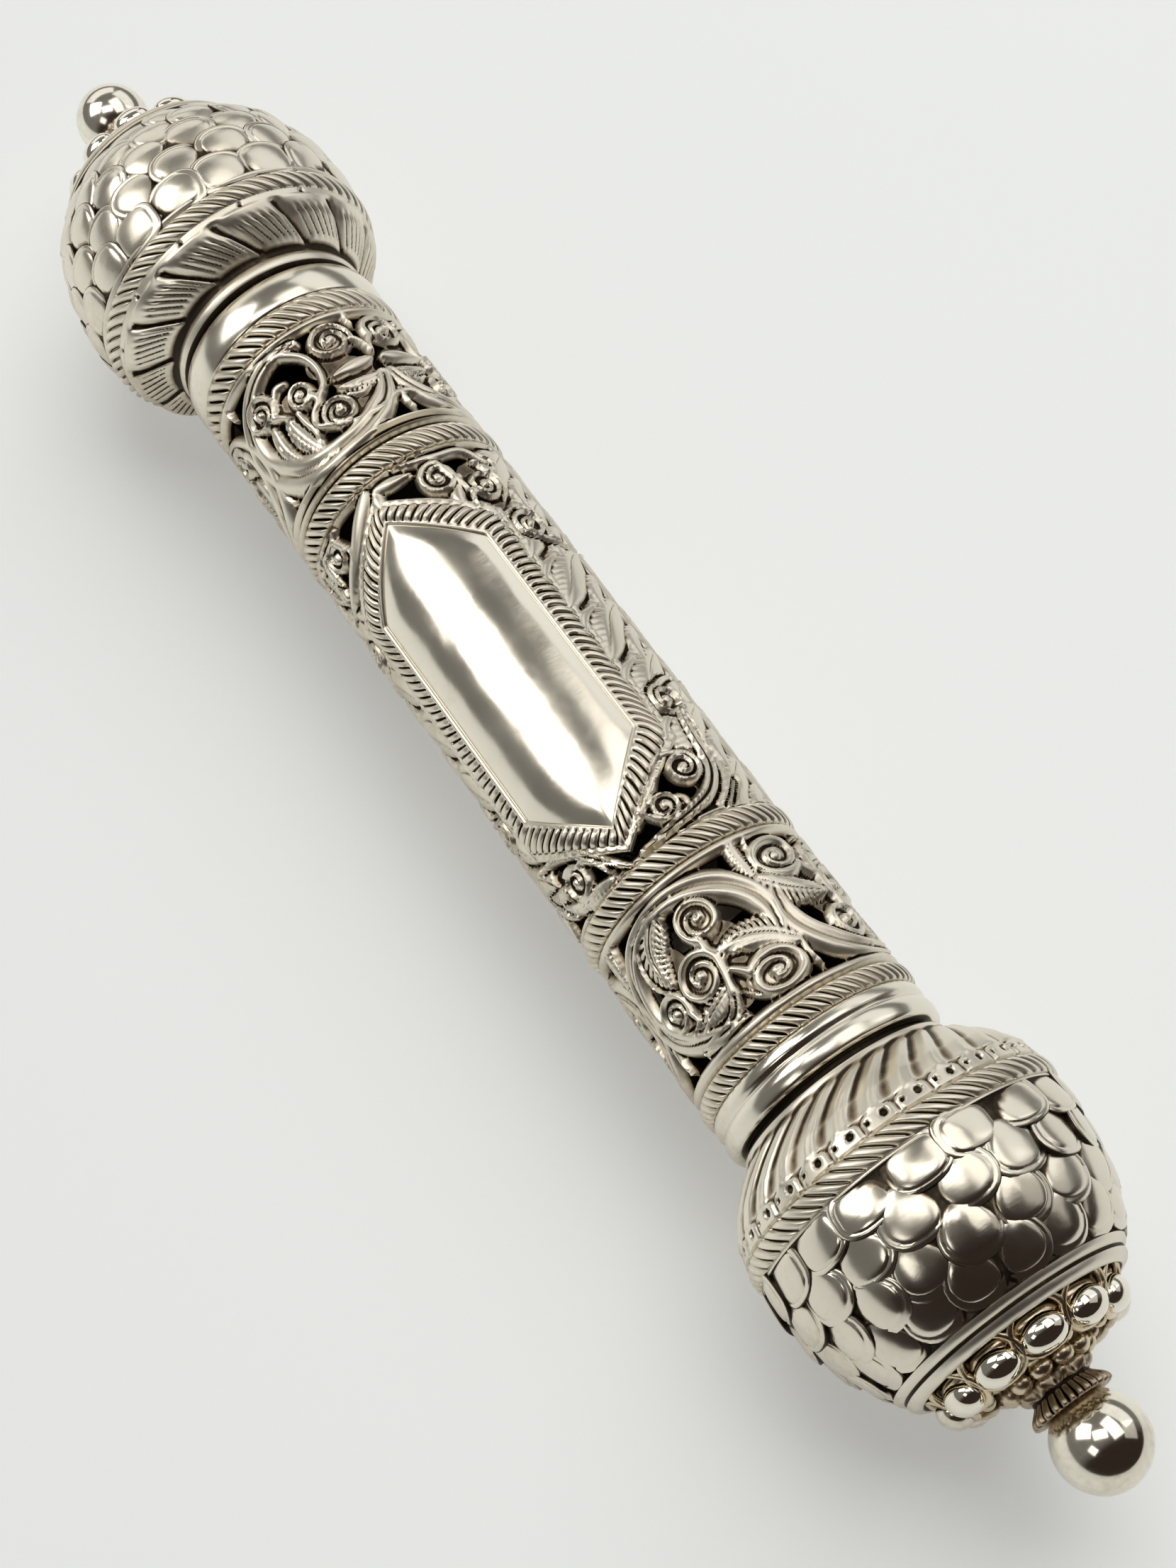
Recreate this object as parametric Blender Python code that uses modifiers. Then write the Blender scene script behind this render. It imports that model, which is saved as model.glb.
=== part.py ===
"""A silver megillah case: a chased tube closed by two pomegranate knobs.

The case lies along X and rests on small flats under its knobs, so the plane z = 0 is the surface
that it lies on. The origin is below the middle of its length. Metres, +Z up.
"""

import math

import bmesh
import bpy
from mathutils import Vector

MM = 0.001

# Driving dimensions, in millimetres.
TUBE_RADIUS = 12.0  # outside of the plain wall
WALL = 0.9
TUBE_END = 55.6  # half the length of the tube
KNOB_START = 56.3  # rim of a knob, past the open joint line
HALF_LENGTH = 101.5  # from the middle to the end of a ball
KNOB_RADIUS = 17.8
AXIS_HEIGHT = 17.6  # a little under the knob's radius: this cuts the flats
SLEEVE_RADIUS = 10.75
SLEEVE_END = 50.0
GAP = 0.3  # between pieces that touch

RING_HEIGHT = 0.7  # rope rings stand this far above the wall
COLLAR_HEIGHT = 0.55
PLATE_HEIGHT = 0.3
FRAME_HEIGHT = 0.7
GROUND_DEPTH = 0.55  # of the sunk ground between the scrolls, which leaves the wall closed

# Zones along the tube: (start, end) of each rope ring and collar.
FAR_COLLAR = (-55.6, -50.4)
ROPE_RINGS = ((-50.2, -46.0), (-28.7, -25.1), (28.2, 31.1), (49.1, 52.0))
NEAR_COLLAR = (52.2, 55.6)
MEDALLION_ROWS = (-37.2, 40.0)  # middle of each row of round medallions
MEDALLIONS_AROUND = 4
MEDALLION_ANGLES = (24.0, 33.0)  # the medallion nearest the top, in each row

# The two long hexagonal cartouches, one on the front and one opposite.
CARTOUCHE_MIDDLE = 1.65
CARTOUCHE_ANGLE = 28.5
PLATE_LONG = 21.6  # half length of the plate, point to middle
PLATE_SHOULDER = 13.9  # half length of its straight sides
PLATE_HALF_ARC = 37.5  # half width, in degrees round the tube
FRAME_LONG = 25.2
FRAME_SHOULDER = 16.8
FRAME_HALF_ARC = 54.0

SCALES_AROUND = 18
SCALE_RELIEF = 0.55
SCALE_EDGE = 0.82  # share of a row's length at which its scales reach their free edge
SCALE_DIP = 0.35  # share of the relief that lies below the turned outline
PETALS_AROUND = 11
PETAL_RELIEF = 0.9
PETAL_DIP = 0.6
RUFFLES_AROUND = 12
RUFFLE_RELIEF = 0.12
STEM_RADIUS = 2.1
STEM_START = 89.2  # foot of a ball's stem, and of the ruffled collar round it
BALL_RADII = {"near": 4.9, "far": 4.5}

TUBE_STEPS = 36
KNOB_STEPS = 36
CROWN_STEPS = 22
COLLAR_STEPS = 24
BALL_STEPS = 12
BALL_RINGS = 7

SILVER = (0.78, 0.74, 0.67)
BRIGHT_SILVER = (0.86, 0.84, 0.80)
GILT_SILVER = (0.72, 0.63, 0.47)


def material(name, colour, roughness):
    """A metal with one colour and one roughness."""
    metal = bpy.data.materials.new(name)
    metal.use_nodes = True
    shader = metal.node_tree.nodes["Principled BSDF"]
    shader.inputs["Base Color"].default_value = (*colour, 1.0)
    shader.inputs["Metallic"].default_value = 1.0
    shader.inputs["Roughness"].default_value = roughness
    return metal


def collection(name):
    """A new collection in the scene."""
    made = bpy.data.collections.new(name)
    bpy.context.scene.collection.children.link(made)
    return made


def on_tube(along, degrees, radius):
    """A point at a radius from the axis, at an angle from the top towards -Y."""
    turn = math.radians(degrees)
    height = AXIS_HEIGHT + radius * math.cos(turn)
    return Vector((along, -radius * math.sin(turn), height)) * MM


def new_object(name, mesh, group, metal=None):
    """An object for a mesh, linked into a collection."""
    made = bpy.data.objects.new(name, mesh)
    group.objects.link(made)
    if metal:
        mesh.materials.append(metal)
    return made


def turned(name, profile, steps, group, metal):
    """A body turned round the case's own axis from (along, radius) points."""
    area = sum(a[0] * b[1] - b[0] * a[1] for a, b in zip(profile, profile[1:] + profile[:1]))
    points = profile if area > 0 else profile[::-1]
    mesh = bpy.data.meshes.new(name)
    shape = bmesh.new()
    verts = [shape.verts.new((radius * MM, 0.0, along * MM)) for along, radius in points]
    closed = min(radius for along, radius in points) > 0.0
    following = verts[1:] + verts[:1] if closed else verts[1:]
    for start, end in zip(verts, following):
        shape.edges.new((start, end))
    shape.to_mesh(mesh)
    shape.free()
    made = new_object(name, mesh, group, metal)
    made.rotation_euler = (0.0, math.pi / 2.0, 0.0)
    made.location = (0.0, 0.0, AXIS_HEIGHT * MM)
    screw = made.modifiers.new("turn", "SCREW")
    screw.axis = "Z"
    screw.steps = steps
    screw.render_steps = steps
    screw.use_merge_vertices = True
    screw.merge_threshold = 0.00002
    return made


def solid(made):
    """Bakes an object's modifiers and its place into its mesh, so that its points can be moved."""
    bpy.context.view_layer.update()
    graph = bpy.context.evaluated_depsgraph_get()
    mesh = bpy.data.meshes.new_from_object(made.evaluated_get(graph))
    mesh.transform(made.matrix_world)
    made.modifiers.clear()
    made.data = mesh
    made.rotation_euler = (0.0, 0.0, 0.0)
    made.location = (0.0, 0.0, 0.0)
    return made


def carve(made, relief):
    """Moves each point of a turned body outwards by relief(along, radius, degrees), in millimetres."""
    for vert in solid(made).data.vertices:
        away = Vector((0.0, vert.co.y, vert.co.z - AXIS_HEIGHT * MM))
        radius = away.length / MM
        if radius < GAP:
            continue
        degrees = math.degrees(math.atan2(-away.y, away.z))
        vert.co += away.normalized() * relief(vert.co.x / MM, radius, degrees) * MM
    return made


def boolean(made, other, operation):
    """Cuts or joins a body with a second one."""
    step = made.modifiers.new(operation.lower(), "BOOLEAN")
    step.operation = operation
    step.solver = "EXACT"
    step.object = other
    return step


def hidden_tool(name, mesh, group):
    """A cutter, drawn as wire and never rendered."""
    tool = new_object(name, mesh, group)
    tool.hide_render = True
    tool.display_type = "WIRE"
    return tool


def slab(shape, outline, low, high, slices=()):
    """Adds a flat outline of (along, degrees) points to a bmesh, wrapped between two radii.

    slices are the angles at which the outline is divided, so that a wide one follows the curve.
    """
    piece = bmesh.new()
    piece.faces.new([piece.verts.new((along, degrees, 0.0)) for along, degrees in outline])
    for degrees in slices:
        parts = piece.verts[:] + piece.edges[:] + piece.faces[:]
        bmesh.ops.bisect_plane(piece, geom=parts, plane_co=(0, degrees, 0), plane_no=(0, 1, 0))
    lifted = bmesh.ops.extrude_face_region(piece, geom=piece.faces[:])["geom"]
    for vert in (item for item in lifted if isinstance(item, bmesh.types.BMVert)):
        vert.co.z = 1.0
    bmesh.ops.recalc_face_normals(piece, faces=piece.faces)
    for vert in piece.verts:
        radius = low + (high - low) * vert.co.z
        vert.co = on_tube(vert.co.x, vert.co.y, radius)
    bmesh.ops.reverse_faces(piece, faces=piece.faces)  # the wrapping turns them inside out
    mesh = bpy.data.meshes.new("slab")
    piece.to_mesh(mesh)
    piece.free()
    shape.from_mesh(mesh)
    bpy.data.meshes.remove(mesh)


def hexagon(angle, long, shoulder, half_arc):
    """A long hexagon with its points on the middle line, as (along, degrees) corners."""
    corners = ((-long, 0.0), (-shoulder, -half_arc), (shoulder, -half_arc))
    corners += ((long, 0.0), (shoulder, half_arc), (-shoulder, half_arc))
    return [(CARTOUCHE_MIDDLE + along, angle + degrees) for along, degrees in corners]


def lens(along, degrees, length, width, lean):
    """A five-cornered leaf shape, leaning by an angle from the tube's length."""
    half, side = length / 2.0, width / 2.0
    corners = ((-half, 0.0), (-half * 0.1, -side), (half * 0.8, -side * 0.7))
    corners += ((half, side * 0.5), (0.0, side))
    turn = math.radians(lean)
    per_degree = math.radians(TUBE_RADIUS)
    points = []
    for u, v in corners:
        across = u * math.sin(turn) + v * math.cos(turn)
        points.append((along + u * math.cos(turn) - v * math.sin(turn), degrees + across / per_degree))
    return points


def medallion_ground(along, degrees):
    """The sunk ground in and between the scrolls of one medallion."""
    per_degree = math.radians(TUBE_RADIUS)
    ground = (
        (-2.6, -6.0, 5.0, 2.2, -38.0),
        (-3.6, 0.4, 4.8, 1.4, 8.0),
        (-1.8, 7.0, 5.0, 1.8, 0.0),
        (7.2, -9.6, 3.6, 1.6, -60.0),
    )
    for u, v, length, width, lean in ground:
        yield lens(along + u, degrees + v / per_degree, length, width, lean)


def cartouche_ground(angle):
    """The sunk ground in the four corners round one cartouche."""
    u, v, length, width, lean = (24.0, 26.0, 4.0, 2.2, 40.0)
    for end in (-1, 1):
        for side in (-1, 1):
            yield lens(CARTOUCHE_MIDDLE + end * u, angle + side * v, length, width, -end * side * lean)


def foliage_ground(angle):
    """A line of leaning hollows in the foliage between the cartouches."""
    count = 4
    spacing = 8.0
    for index in range(count):
        along = CARTOUCHE_MIDDLE + (index - (count - 1) / 2.0) * spacing
        yield lens(along, angle + (7.0 if index % 2 else -7.0), 3.6, 1.7, 65.0)


def sunk_ground():
    """The ground between all the scrolls on the tube, as one mesh of wedges."""
    shape = bmesh.new()
    outlines = []
    for along, first in zip(MEDALLION_ROWS, MEDALLION_ANGLES):
        for index in range(MEDALLIONS_AROUND):
            outlines.extend(medallion_ground(along, first + index * 360.0 / MEDALLIONS_AROUND))
    for half_turn in (0.0, 180.0):
        outlines.extend(cartouche_ground(CARTOUCHE_ANGLE + half_turn))
        outlines.extend(foliage_ground(CARTOUCHE_ANGLE + 90.0 + half_turn))
    for outline in outlines:
        slab(shape, outline, TUBE_RADIUS - GROUND_DEPTH, TUBE_RADIUS + 2.0 * WALL)
    mesh = bpy.data.meshes.new("sunk_ground")
    shape.to_mesh(mesh)
    shape.free()
    return mesh


def cartouche_slabs(name, long, shoulder, half_arc, low, high):
    """A pair of wrapped hexagons, on the front and the back of the tube."""
    shape = bmesh.new()
    for half_turn in (0.0, 180.0):
        angle = CARTOUCHE_ANGLE + half_turn
        step = 360.0 / TUBE_STEPS
        count = math.ceil(half_arc / step) - 1
        slices = [angle + index * step for index in range(-count, count + 1)]
        slab(shape, hexagon(angle, long, shoulder, half_arc), low, high, slices)
    mesh = bpy.data.meshes.new(name)
    shape.to_mesh(mesh)
    shape.free()
    return mesh


def ring_profile(start, end, height):
    """A low round band between two places along the tube."""
    shoulder = (end - start) * 0.3
    top = TUBE_RADIUS + height
    return [(start, TUBE_RADIUS), (start + shoulder, top), (end - shoulder, top), (end, TUBE_RADIUS)]


def case_tube(group, tools, metal):
    """The tube: a plain turned wall with rings, two cartouches and the sunk ground of its scrolls."""
    outside = ring_profile(*FAR_COLLAR, COLLAR_HEIGHT)
    for start, end in ROPE_RINGS:
        outside += ring_profile(start, end, RING_HEIGHT)
    outside += ring_profile(*NEAR_COLLAR, COLLAR_HEIGHT)
    inner = TUBE_RADIUS - WALL
    profile = outside + [(TUBE_END, inner), (-TUBE_END, inner)]
    tube = turned("case_tube", profile, TUBE_STEPS, group, metal)
    low = TUBE_RADIUS - WALL * 0.5
    frame_top = TUBE_RADIUS + FRAME_HEIGHT
    frame = cartouche_slabs("frame", FRAME_LONG, FRAME_SHOULDER, FRAME_HALF_ARC, low, frame_top)
    boolean(tube, hidden_tool("frame_tool", frame, tools), "UNION")
    plate_top = TUBE_RADIUS + PLATE_HEIGHT
    above = TUBE_RADIUS + 3.0 * WALL
    plate = cartouche_slabs("plate", PLATE_LONG, PLATE_SHOULDER, PLATE_HALF_ARC, plate_top, above)
    boolean(tube, hidden_tool("plate_tool", plate, tools), "DIFFERENCE")
    boolean(tube, hidden_tool("ground_tool", sunk_ground(), tools), "DIFFERENCE")
    return tube


def scale_rows(places):
    """Outer profile points over rows of scales: a low start and a high edge for each row."""
    points = []
    for (start, start_radius), (end, end_radius) in zip(places, places[1:]):
        along = start + (end - start) * SCALE_EDGE
        radius = start_radius + (end_radius - start_radius) * SCALE_EDGE
        points += [(start, start_radius), (along, radius)]
    return points + [places[-1]]


def scales(along, degrees, rows):
    """How far a scale stands out: each row rises to its free edge, and rows are staggered."""
    for index, (start, end) in enumerate(zip(rows, rows[1:])):
        share = (along - start) / (end - start)
        if 0.0 <= share < 1.0:
            stagger = math.pi * (index % 2)
            swell = 0.5 + 0.5 * math.cos(math.radians(degrees) * SCALES_AROUND + stagger)
            return SCALE_RELIEF * (swell * share / SCALE_EDGE - SCALE_DIP)
    return 0.0


def knob(name, outside, inside, rows, side, group, tools, metal):
    """A hollow knob with a sleeve for the tube. side is +1 for the near knob, -1 for the far one."""
    profile = [(side * along, radius) for along, radius in outside + inside]
    made = turned(name, profile, KNOB_STEPS, group, metal)
    bottom = min(radius for along, radius in outside if rows[0] <= along <= rows[-1]) - WALL

    def relief(along, radius, degrees):
        distance = abs(along)
        on_skin = radius > skin_radius(outside, distance) - WALL * 0.5
        if radius < bottom or not on_skin:
            return 0.0
        return scales(distance, degrees, rows)

    carve(made, relief)
    floor = bpy.data.meshes.new("floor")
    shape = bmesh.new()
    bmesh.ops.create_cube(shape, size=1.0)
    reach = 4.0 * KNOB_RADIUS * MM
    depth = KNOB_RADIUS * MM
    middle = side * (KNOB_START + KNOB_RADIUS) * MM
    for vert in shape.verts:
        vert.co = Vector((middle + vert.co.x * reach, vert.co.y * reach, (vert.co.z - 0.5) * depth))
    shape.to_mesh(floor)
    shape.free()
    boolean(made, hidden_tool(name + "_flat_tool", floor, tools), "DIFFERENCE")
    return made


def skin_radius(outside, along):
    """The outer profile's radius at a place along the case, outside the sleeve."""
    skin = [point for point in outside if point[0] >= KNOB_START and point[1] > SLEEVE_RADIUS]
    skin = sorted(skin)
    for (a, a_radius), (b, b_radius) in zip(skin, skin[1:]):
        if a <= along <= b and b > a:
            return a_radius + (b_radius - a_radius) * (along - a) / (b - a)
    return KNOB_RADIUS * 2.0


SLEEVE = [
    (KNOB_START, TUBE_RADIUS),
    (KNOB_START, SLEEVE_RADIUS),
    (SLEEVE_END, SLEEVE_RADIUS),
    (SLEEVE_END, SLEEVE_RADIUS - WALL),
]
RECESS_FLOOR = 83.6
RECESS = [(RECESS_FLOOR, 0.0), (RECESS_FLOOR, 11.0), (84.6, 12.0)]


def near_knob(group, tools, metal):
    """The knob with twisted flutes, a rope ring and rows of scales up to a plain double ring."""
    rows = (68.0, 72.4, 76.6, 80.4, 83.3)
    row_radii = (17.55, KNOB_RADIUS, 17.0, 15.3, 13.1)
    scaled = scale_rows(list(zip(rows, row_radii)))
    flutes = [(62.8, 16.5), (59.6, 14.0), (57.4, 12.1)]
    rope = [(67.4, 17.3), (66.2, KNOB_RADIUS), (64.8, 17.0)]
    outside = RECESS + scaled[::-1] + rope + flutes + SLEEVE
    inside = [(57.6, SLEEVE_RADIUS - WALL), (67.0, 16.3)]
    inside += [(75.0, 16.0), (RECESS_FLOOR - WALL, 11.4), (RECESS_FLOOR - WALL, 0.0)]
    return knob("near_knob", outside, inside, rows, 1, group, tools, metal)


def far_knob(group, tools, metal):
    """The knob with a ring of broad leaves, a rope ring and rows of scales."""
    rows = (65.2, 69.6, 73.8, 77.8, 81.2, 83.3)
    row_radii = (17.2, KNOB_RADIUS, 17.6, 16.6, 14.6, 12.9)
    scaled = scale_rows(list(zip(rows, row_radii)))
    neck = [(62.0, 16.5), (58.8, 14.3), (57.9, 12.0)]
    rope = [(64.6, 16.9), (63.4, 17.2), (62.4, 16.6)]
    outside = RECESS + scaled[::-1] + rope + neck + SLEEVE
    inside = [(57.6, SLEEVE_RADIUS - WALL), (66.0, 16.2)]
    inside += [(74.0, 16.1), (RECESS_FLOOR - WALL, 11.2), (RECESS_FLOOR - WALL, 0.0)]
    return knob("far_knob", outside, inside, rows, -1, group, tools, metal)


def crown(name, side, group, metal):
    """The ring of petals that stands in the recess at the end of a knob."""
    start = RECESS_FLOOR + GAP
    profile = [(start, 0.0), (start, 9.6), (85.3, 9.4), (86.4, 8.8), (88.0, 10.2), (89.9, 9.6)]
    profile += [(90.0, 8.6), (88.6, 6.0), (88.9, 4.4), (88.9, 0.0)]
    made = turned(name, [(side * along, radius) for along, radius in profile], CROWN_STEPS, group, metal)

    def petals(along, radius, degrees):
        wave = abs(math.cos(math.radians(degrees) * PETALS_AROUND / 2.0))
        return PETAL_RELIEF * (wave - PETAL_DIP) if radius > 8.0 and abs(along) > start + GAP else 0.0

    return carve(made, petals)


def collar(name, side, group, metal):
    """The ruffled ring of twisted wire under a ball."""
    inner = STEM_RADIUS + 0.5
    profile = [(STEM_START, inner), (STEM_START, 3.5), (90.0, 3.9), (92.9, 3.9), (91.9, inner)]
    made = turned(name, [(side * along, radius) for along, radius in profile], COLLAR_STEPS, group, metal)

    def ruffles(along, radius, degrees):
        swing = math.cos(math.radians(degrees) * RUFFLES_AROUND)
        return RUFFLE_RELIEF * swing if radius > 3.0 else 0.0

    return carve(made, ruffles)


def ball(name, radius, side, group, metal):
    """A ball finial on a short stem that passes through the ruffled collar."""
    middle = HALF_LENGTH - radius
    profile = [(STEM_START, 0.0), (STEM_START, STEM_RADIUS)]
    start = math.asin(STEM_RADIUS / radius)
    for index in range(BALL_RINGS + 1):
        turn = start + (math.pi - start) * index / BALL_RINGS
        profile.append((middle - radius * math.cos(turn), abs(radius * math.sin(turn))))
    profile[-1] = (HALF_LENGTH, 0.0)
    return turned(name, [(side * along, r) for along, r in profile], BALL_STEPS, group, metal)


def main():
    for old in list(bpy.data.objects):
        bpy.data.objects.remove(old)
    case = collection("megillah_case")
    tools = collection("cutters")
    tube_metal = material("chased_silver", SILVER, 0.28)
    knob_metal = material("knob_silver", SILVER, 0.24)
    crown_metal = material("gilt_silver", GILT_SILVER, 0.30)
    wire_metal = material("wire_silver", SILVER, 0.34)
    ball_metal = material("polished_silver", BRIGHT_SILVER, 0.10)
    made = [case_tube(case, tools, tube_metal)]
    made.append(near_knob(case, tools, knob_metal))
    made.append(far_knob(case, tools, knob_metal))
    for name, side in (("near", 1), ("far", -1)):
        made.append(crown(name + "_crown", side, case, crown_metal))
        made.append(collar(name + "_collar", side, case, wire_metal))
        made.append(ball(name + "_ball", BALL_RADII[name], side, case, ball_metal))
    for piece in made:
        piece.data.shade_smooth()


main()
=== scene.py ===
"""The looks of a silver megillah case: chased openwork, rope rings, scales, crowns and tarnish.

The case lies along X on the plane z = 0. Lengths in the ornament are in millimetres and become
metres when a piece is made. Places round the case are degrees from the top towards -Y.
"""

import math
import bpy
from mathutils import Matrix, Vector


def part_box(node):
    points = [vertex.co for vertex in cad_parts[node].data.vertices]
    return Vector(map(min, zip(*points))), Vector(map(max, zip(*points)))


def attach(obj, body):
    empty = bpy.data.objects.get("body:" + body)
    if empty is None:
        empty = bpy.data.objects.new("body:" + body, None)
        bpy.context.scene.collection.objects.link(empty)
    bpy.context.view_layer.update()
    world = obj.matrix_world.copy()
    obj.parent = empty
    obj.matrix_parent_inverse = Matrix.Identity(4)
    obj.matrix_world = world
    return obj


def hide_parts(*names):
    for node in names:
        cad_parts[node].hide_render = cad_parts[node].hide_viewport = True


bl_info = {
    "name": "Megillah Case",
    "version": (1, 0, 0),
    "blender": (4, 5, 0),
    "location": "View3D > Sidebar > Megillah Case",
    "description": "Builds the chased silver surfaces of a megillah case round its CAD frame",
    "category": "Add Mesh",
}

import bmesh
import bpy
import numpy as np
from mathutils import Vector

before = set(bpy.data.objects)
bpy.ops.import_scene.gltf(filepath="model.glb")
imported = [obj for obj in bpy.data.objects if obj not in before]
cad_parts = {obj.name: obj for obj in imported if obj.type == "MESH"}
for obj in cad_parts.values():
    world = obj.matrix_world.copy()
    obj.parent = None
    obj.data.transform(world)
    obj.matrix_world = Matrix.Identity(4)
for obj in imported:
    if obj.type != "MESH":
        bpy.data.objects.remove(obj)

MM = 0.001
ROUND = 360.0
FULL_TURN = 2.0 * math.pi
CASE_LOW, CASE_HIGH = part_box("case_tube")
TUBE_END = CASE_HIGH.x / MM
AXIS_HEIGHT = (CASE_LOW.z + CASE_HIGH.z) / 2.0 / MM
CASE_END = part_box("near_ball")[1].x / MM

# The tube, in millimetres.
TUBE_RADIUS = 12.0
BORE_RADIUS = 11.1
AROUND = FULL_TURN * TUBE_RADIUS
DEGREE = AROUND / ROUND  # the length of a degree round the tube
NEAR_BAND = (30.6, 49.1)
MIDDLE_BAND = (-25.9, 28.0)
FAR_BAND = (-47.9, -28.6)
FAR_CELLS = 1.1  # how much wider its cells are than the near band's
MIDDLE_CELLS = 1.2
# Each rope ring's start and end along the tube, and its strands.
ROPE_RINGS = ((28.0, 30.6, 54), (49.1, 51.3, 58), (-28.6, -25.9, 57), (-50.9, -47.9, 46))
ROPE_ROWS = 13
ROPE_HEIGHT = 0.82
ROPE_FINE = 8  # points across a strand
ROPE_PLAIN = 0.13  # share of a ring's width that each plain edge takes
KNOB_ROPE_HEIGHT = 0.72
KNOB_ROPE_FINE = 9
KNOB_ROPE_PLAIN = 0.05
KNOB_ROPE_BORE = 16.2
ROPE_LEAN = -4.7  # degrees that a strand turns for each millimetre along the tube
TUBE_WALL = ((-60.0, TUBE_RADIUS - 0.1), (60.0, TUBE_RADIUS - 0.1))

# The plain collars at its ends, as (along, radius).
COLLAR_COLUMNS = 160
NEAR_COLLAR = [(51.3, 11.9), (51.5, 12.3), (52.4, 12.5), (52.95, 12.25), (53.15, 12.25), (53.6, 12.5)]
NEAR_COLLAR += [(54.3, 12.62), (55.2, 12.45), (TUBE_END, 12.1)]
FAR_COLLAR = [(-TUBE_END, 12.0), (-55.0, 12.45), (-53.6, 12.7), (-52.2, 12.65), (-51.2, 12.4)]
FAR_COLLAR += [(-50.9, 12.0)]

# Ornament.
GROUND = -0.45  # height of the sunk ground, from the plain wall
FAR_AWAY = 50.0
MARGIN = 0.6  # reach round a shape within which its outline is measured
WEB = 0.13  # width of the ground that is left round every shape
MOAT = 0.2  # width of the sunk line round a shape that lies over others
SPIRAL_TURNS = (0.0, 0.75, 1.2, 1.7)
SPIRAL_REACH = (1.0, 0.92, 0.52, 0.3)  # how far out a volute is after that many turns
VOLUTE_WIDTHS = (1.0, 1.05, 1.05, 0.95, 0.8, 0.65)
TAIL_WIDTHS = (0.8, 1.4)

# The long hexagonal cartouches.
CARTOUCHE_ALONG = 1.35
CARTOUCHE_ANGLES = (28.3, 208.3)
PLATE_LONG = 21.65
PLATE_SHOULDER = 13.95
PLATE_HALF = 37.2 * DEGREE
FRAME_LONG = 25.0
FRAME_SHOULDER = 16.8
FRAME_HALF = 55.5 * DEGREE
FRAME_STEPS = (62, 150, 62, 62, 150, 62)  # points along each side of a border
FRAME_ROWS = 19
FRAME_STRAND = 1.07  # length of a border that one strand of its rope takes
ROPE_MIDDLE = 0.44  # share of the way out to the border's edge
PLATE_STEPS = (16, 56, 16, 16, 56, 16)
PLATE_ROWS = 22
DENTS = ((8.3, -0.4, 0.7, 0.05), (10.2, 0.9, 0.5, 0.04), (-6.0, 2.2, 0.8, 0.04), (3.1, -3.0, 0.6, 0.03))

# The knobs.
RECESS_FLOOR = 83.6
SLEEVE_RADIUS = 10.75
SLEEVE_END = 50.0
KNOB_WALL = 0.9
CARVED_CELL = 0.185  # along a knob, where it is carved
KNOB_COLUMNS = 546
SCALES_AROUND = 18
SCALE_PITCH = ROUND / SCALES_AROUND


# --- Turning places on the case into points -----------------------------------------------------


def on_case(along, degrees, radius):
    """Points in metres from places along the case, round it and out from its axis."""
    turn = np.radians(degrees)
    height = AXIS_HEIGHT + radius * np.cos(turn)
    return np.stack(np.broadcast_arrays(along, -radius * np.sin(turn), height), -1) * MM


def on_side(points, side):
    """Points for one end of the case, with those that would pass through the table flat on it."""
    points = points * (side, 1.0, 1.0)
    points[..., 2] = np.maximum(points[..., 2], 0.0)
    return points


def radius_at(profile, along):
    """How far out a profile of (along, radius) points lies at places along it."""
    return np.interp(along, *np.array(profile, float).T)


def smoothstep(low, high, value):
    """0 up to low, 1 from high on, and smooth in between."""
    share = np.clip((value - low) / (high - low), 0.0, 1.0)
    return share * share * (3.0 - 2.0 * share)


def window(value, start, full, fading, end):
    """1 from full to fading, and falling smoothly to 0 at start and at end."""
    return smoothstep(start, full, value) * smoothstep(end, fading, value)


def bump(distance, half):
    """A round-topped hill: 1 in the middle, 0 at half its width."""
    return np.sqrt(np.clip(1.0 - (distance / half) ** 2, 0.0, 1.0))


def crest(share, power=0.62):
    """The profile of a chased ridge: 1 in its middle, falling to 0 where share is 1."""
    return np.clip(1.0 - share**2, 0.0, 1.0) ** power


def round_from(v, degrees):
    """How far places round the tube lie from an angle, the short way."""
    return (v - degrees * DEGREE + AROUND / 2.0) % AROUND - AROUND / 2.0


def waver(u, v, size, seed):
    """Slow uneven waves between about -1 and 1, as a hand tool leaves."""
    turn = np.random.default_rng(seed)
    total = np.zeros_like(u * 1.0)
    for _ in range(4):
        angle, phase, stretch = turn.uniform(0.0, FULL_TURN, 3)
        step = FULL_TURN / (size * (0.7 + 0.12 * stretch))
        total += np.sin((u * math.cos(angle) + v * math.sin(angle)) * step + phase)
    return total / 2.5


# --- Chased ornament as heights over a sheet ----------------------------------------------------

# In a medallion, a corner or the foliage, points are millimetres along the tube and round it, from
# the middle of that ornament.


def smooth_path(points, samples=8):
    """A smooth line through given points."""
    p = np.array(points, float)
    p = np.vstack((2 * p[0] - p[1], p, 2 * p[-1] - p[-2]))
    t = np.linspace(0.0, 1.0, samples, endpoint=False)[:, None]
    spans = []
    for a, b, c, d in zip(p, p[1:], p[2:], p[3:]):
        bend = (2 * a - 5 * b + 4 * c - d) * t**2 + (3 * b - a - 3 * c + d) * t**3
        spans.append(0.5 * (2 * b + (c - a) * t + bend))
    return np.vstack(spans + [p[-2:-1]])


def spiral(centre, radius, start, hand, stretch):
    """Points of a volute's line: one wide turn, then quickly in. hand is 1 where its angle grows."""
    turn = np.linspace(0.0, SPIRAL_TURNS[-1], 46)
    angle = np.radians(start + hand * ROUND * turn)
    reach = radius * np.interp(turn, SPIRAL_TURNS, SPIRAL_REACH)
    u = centre[0] + reach * np.cos(angle)
    v = centre[1] + reach * stretch * np.sin(angle)
    return np.stack((u, v), -1)


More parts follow.
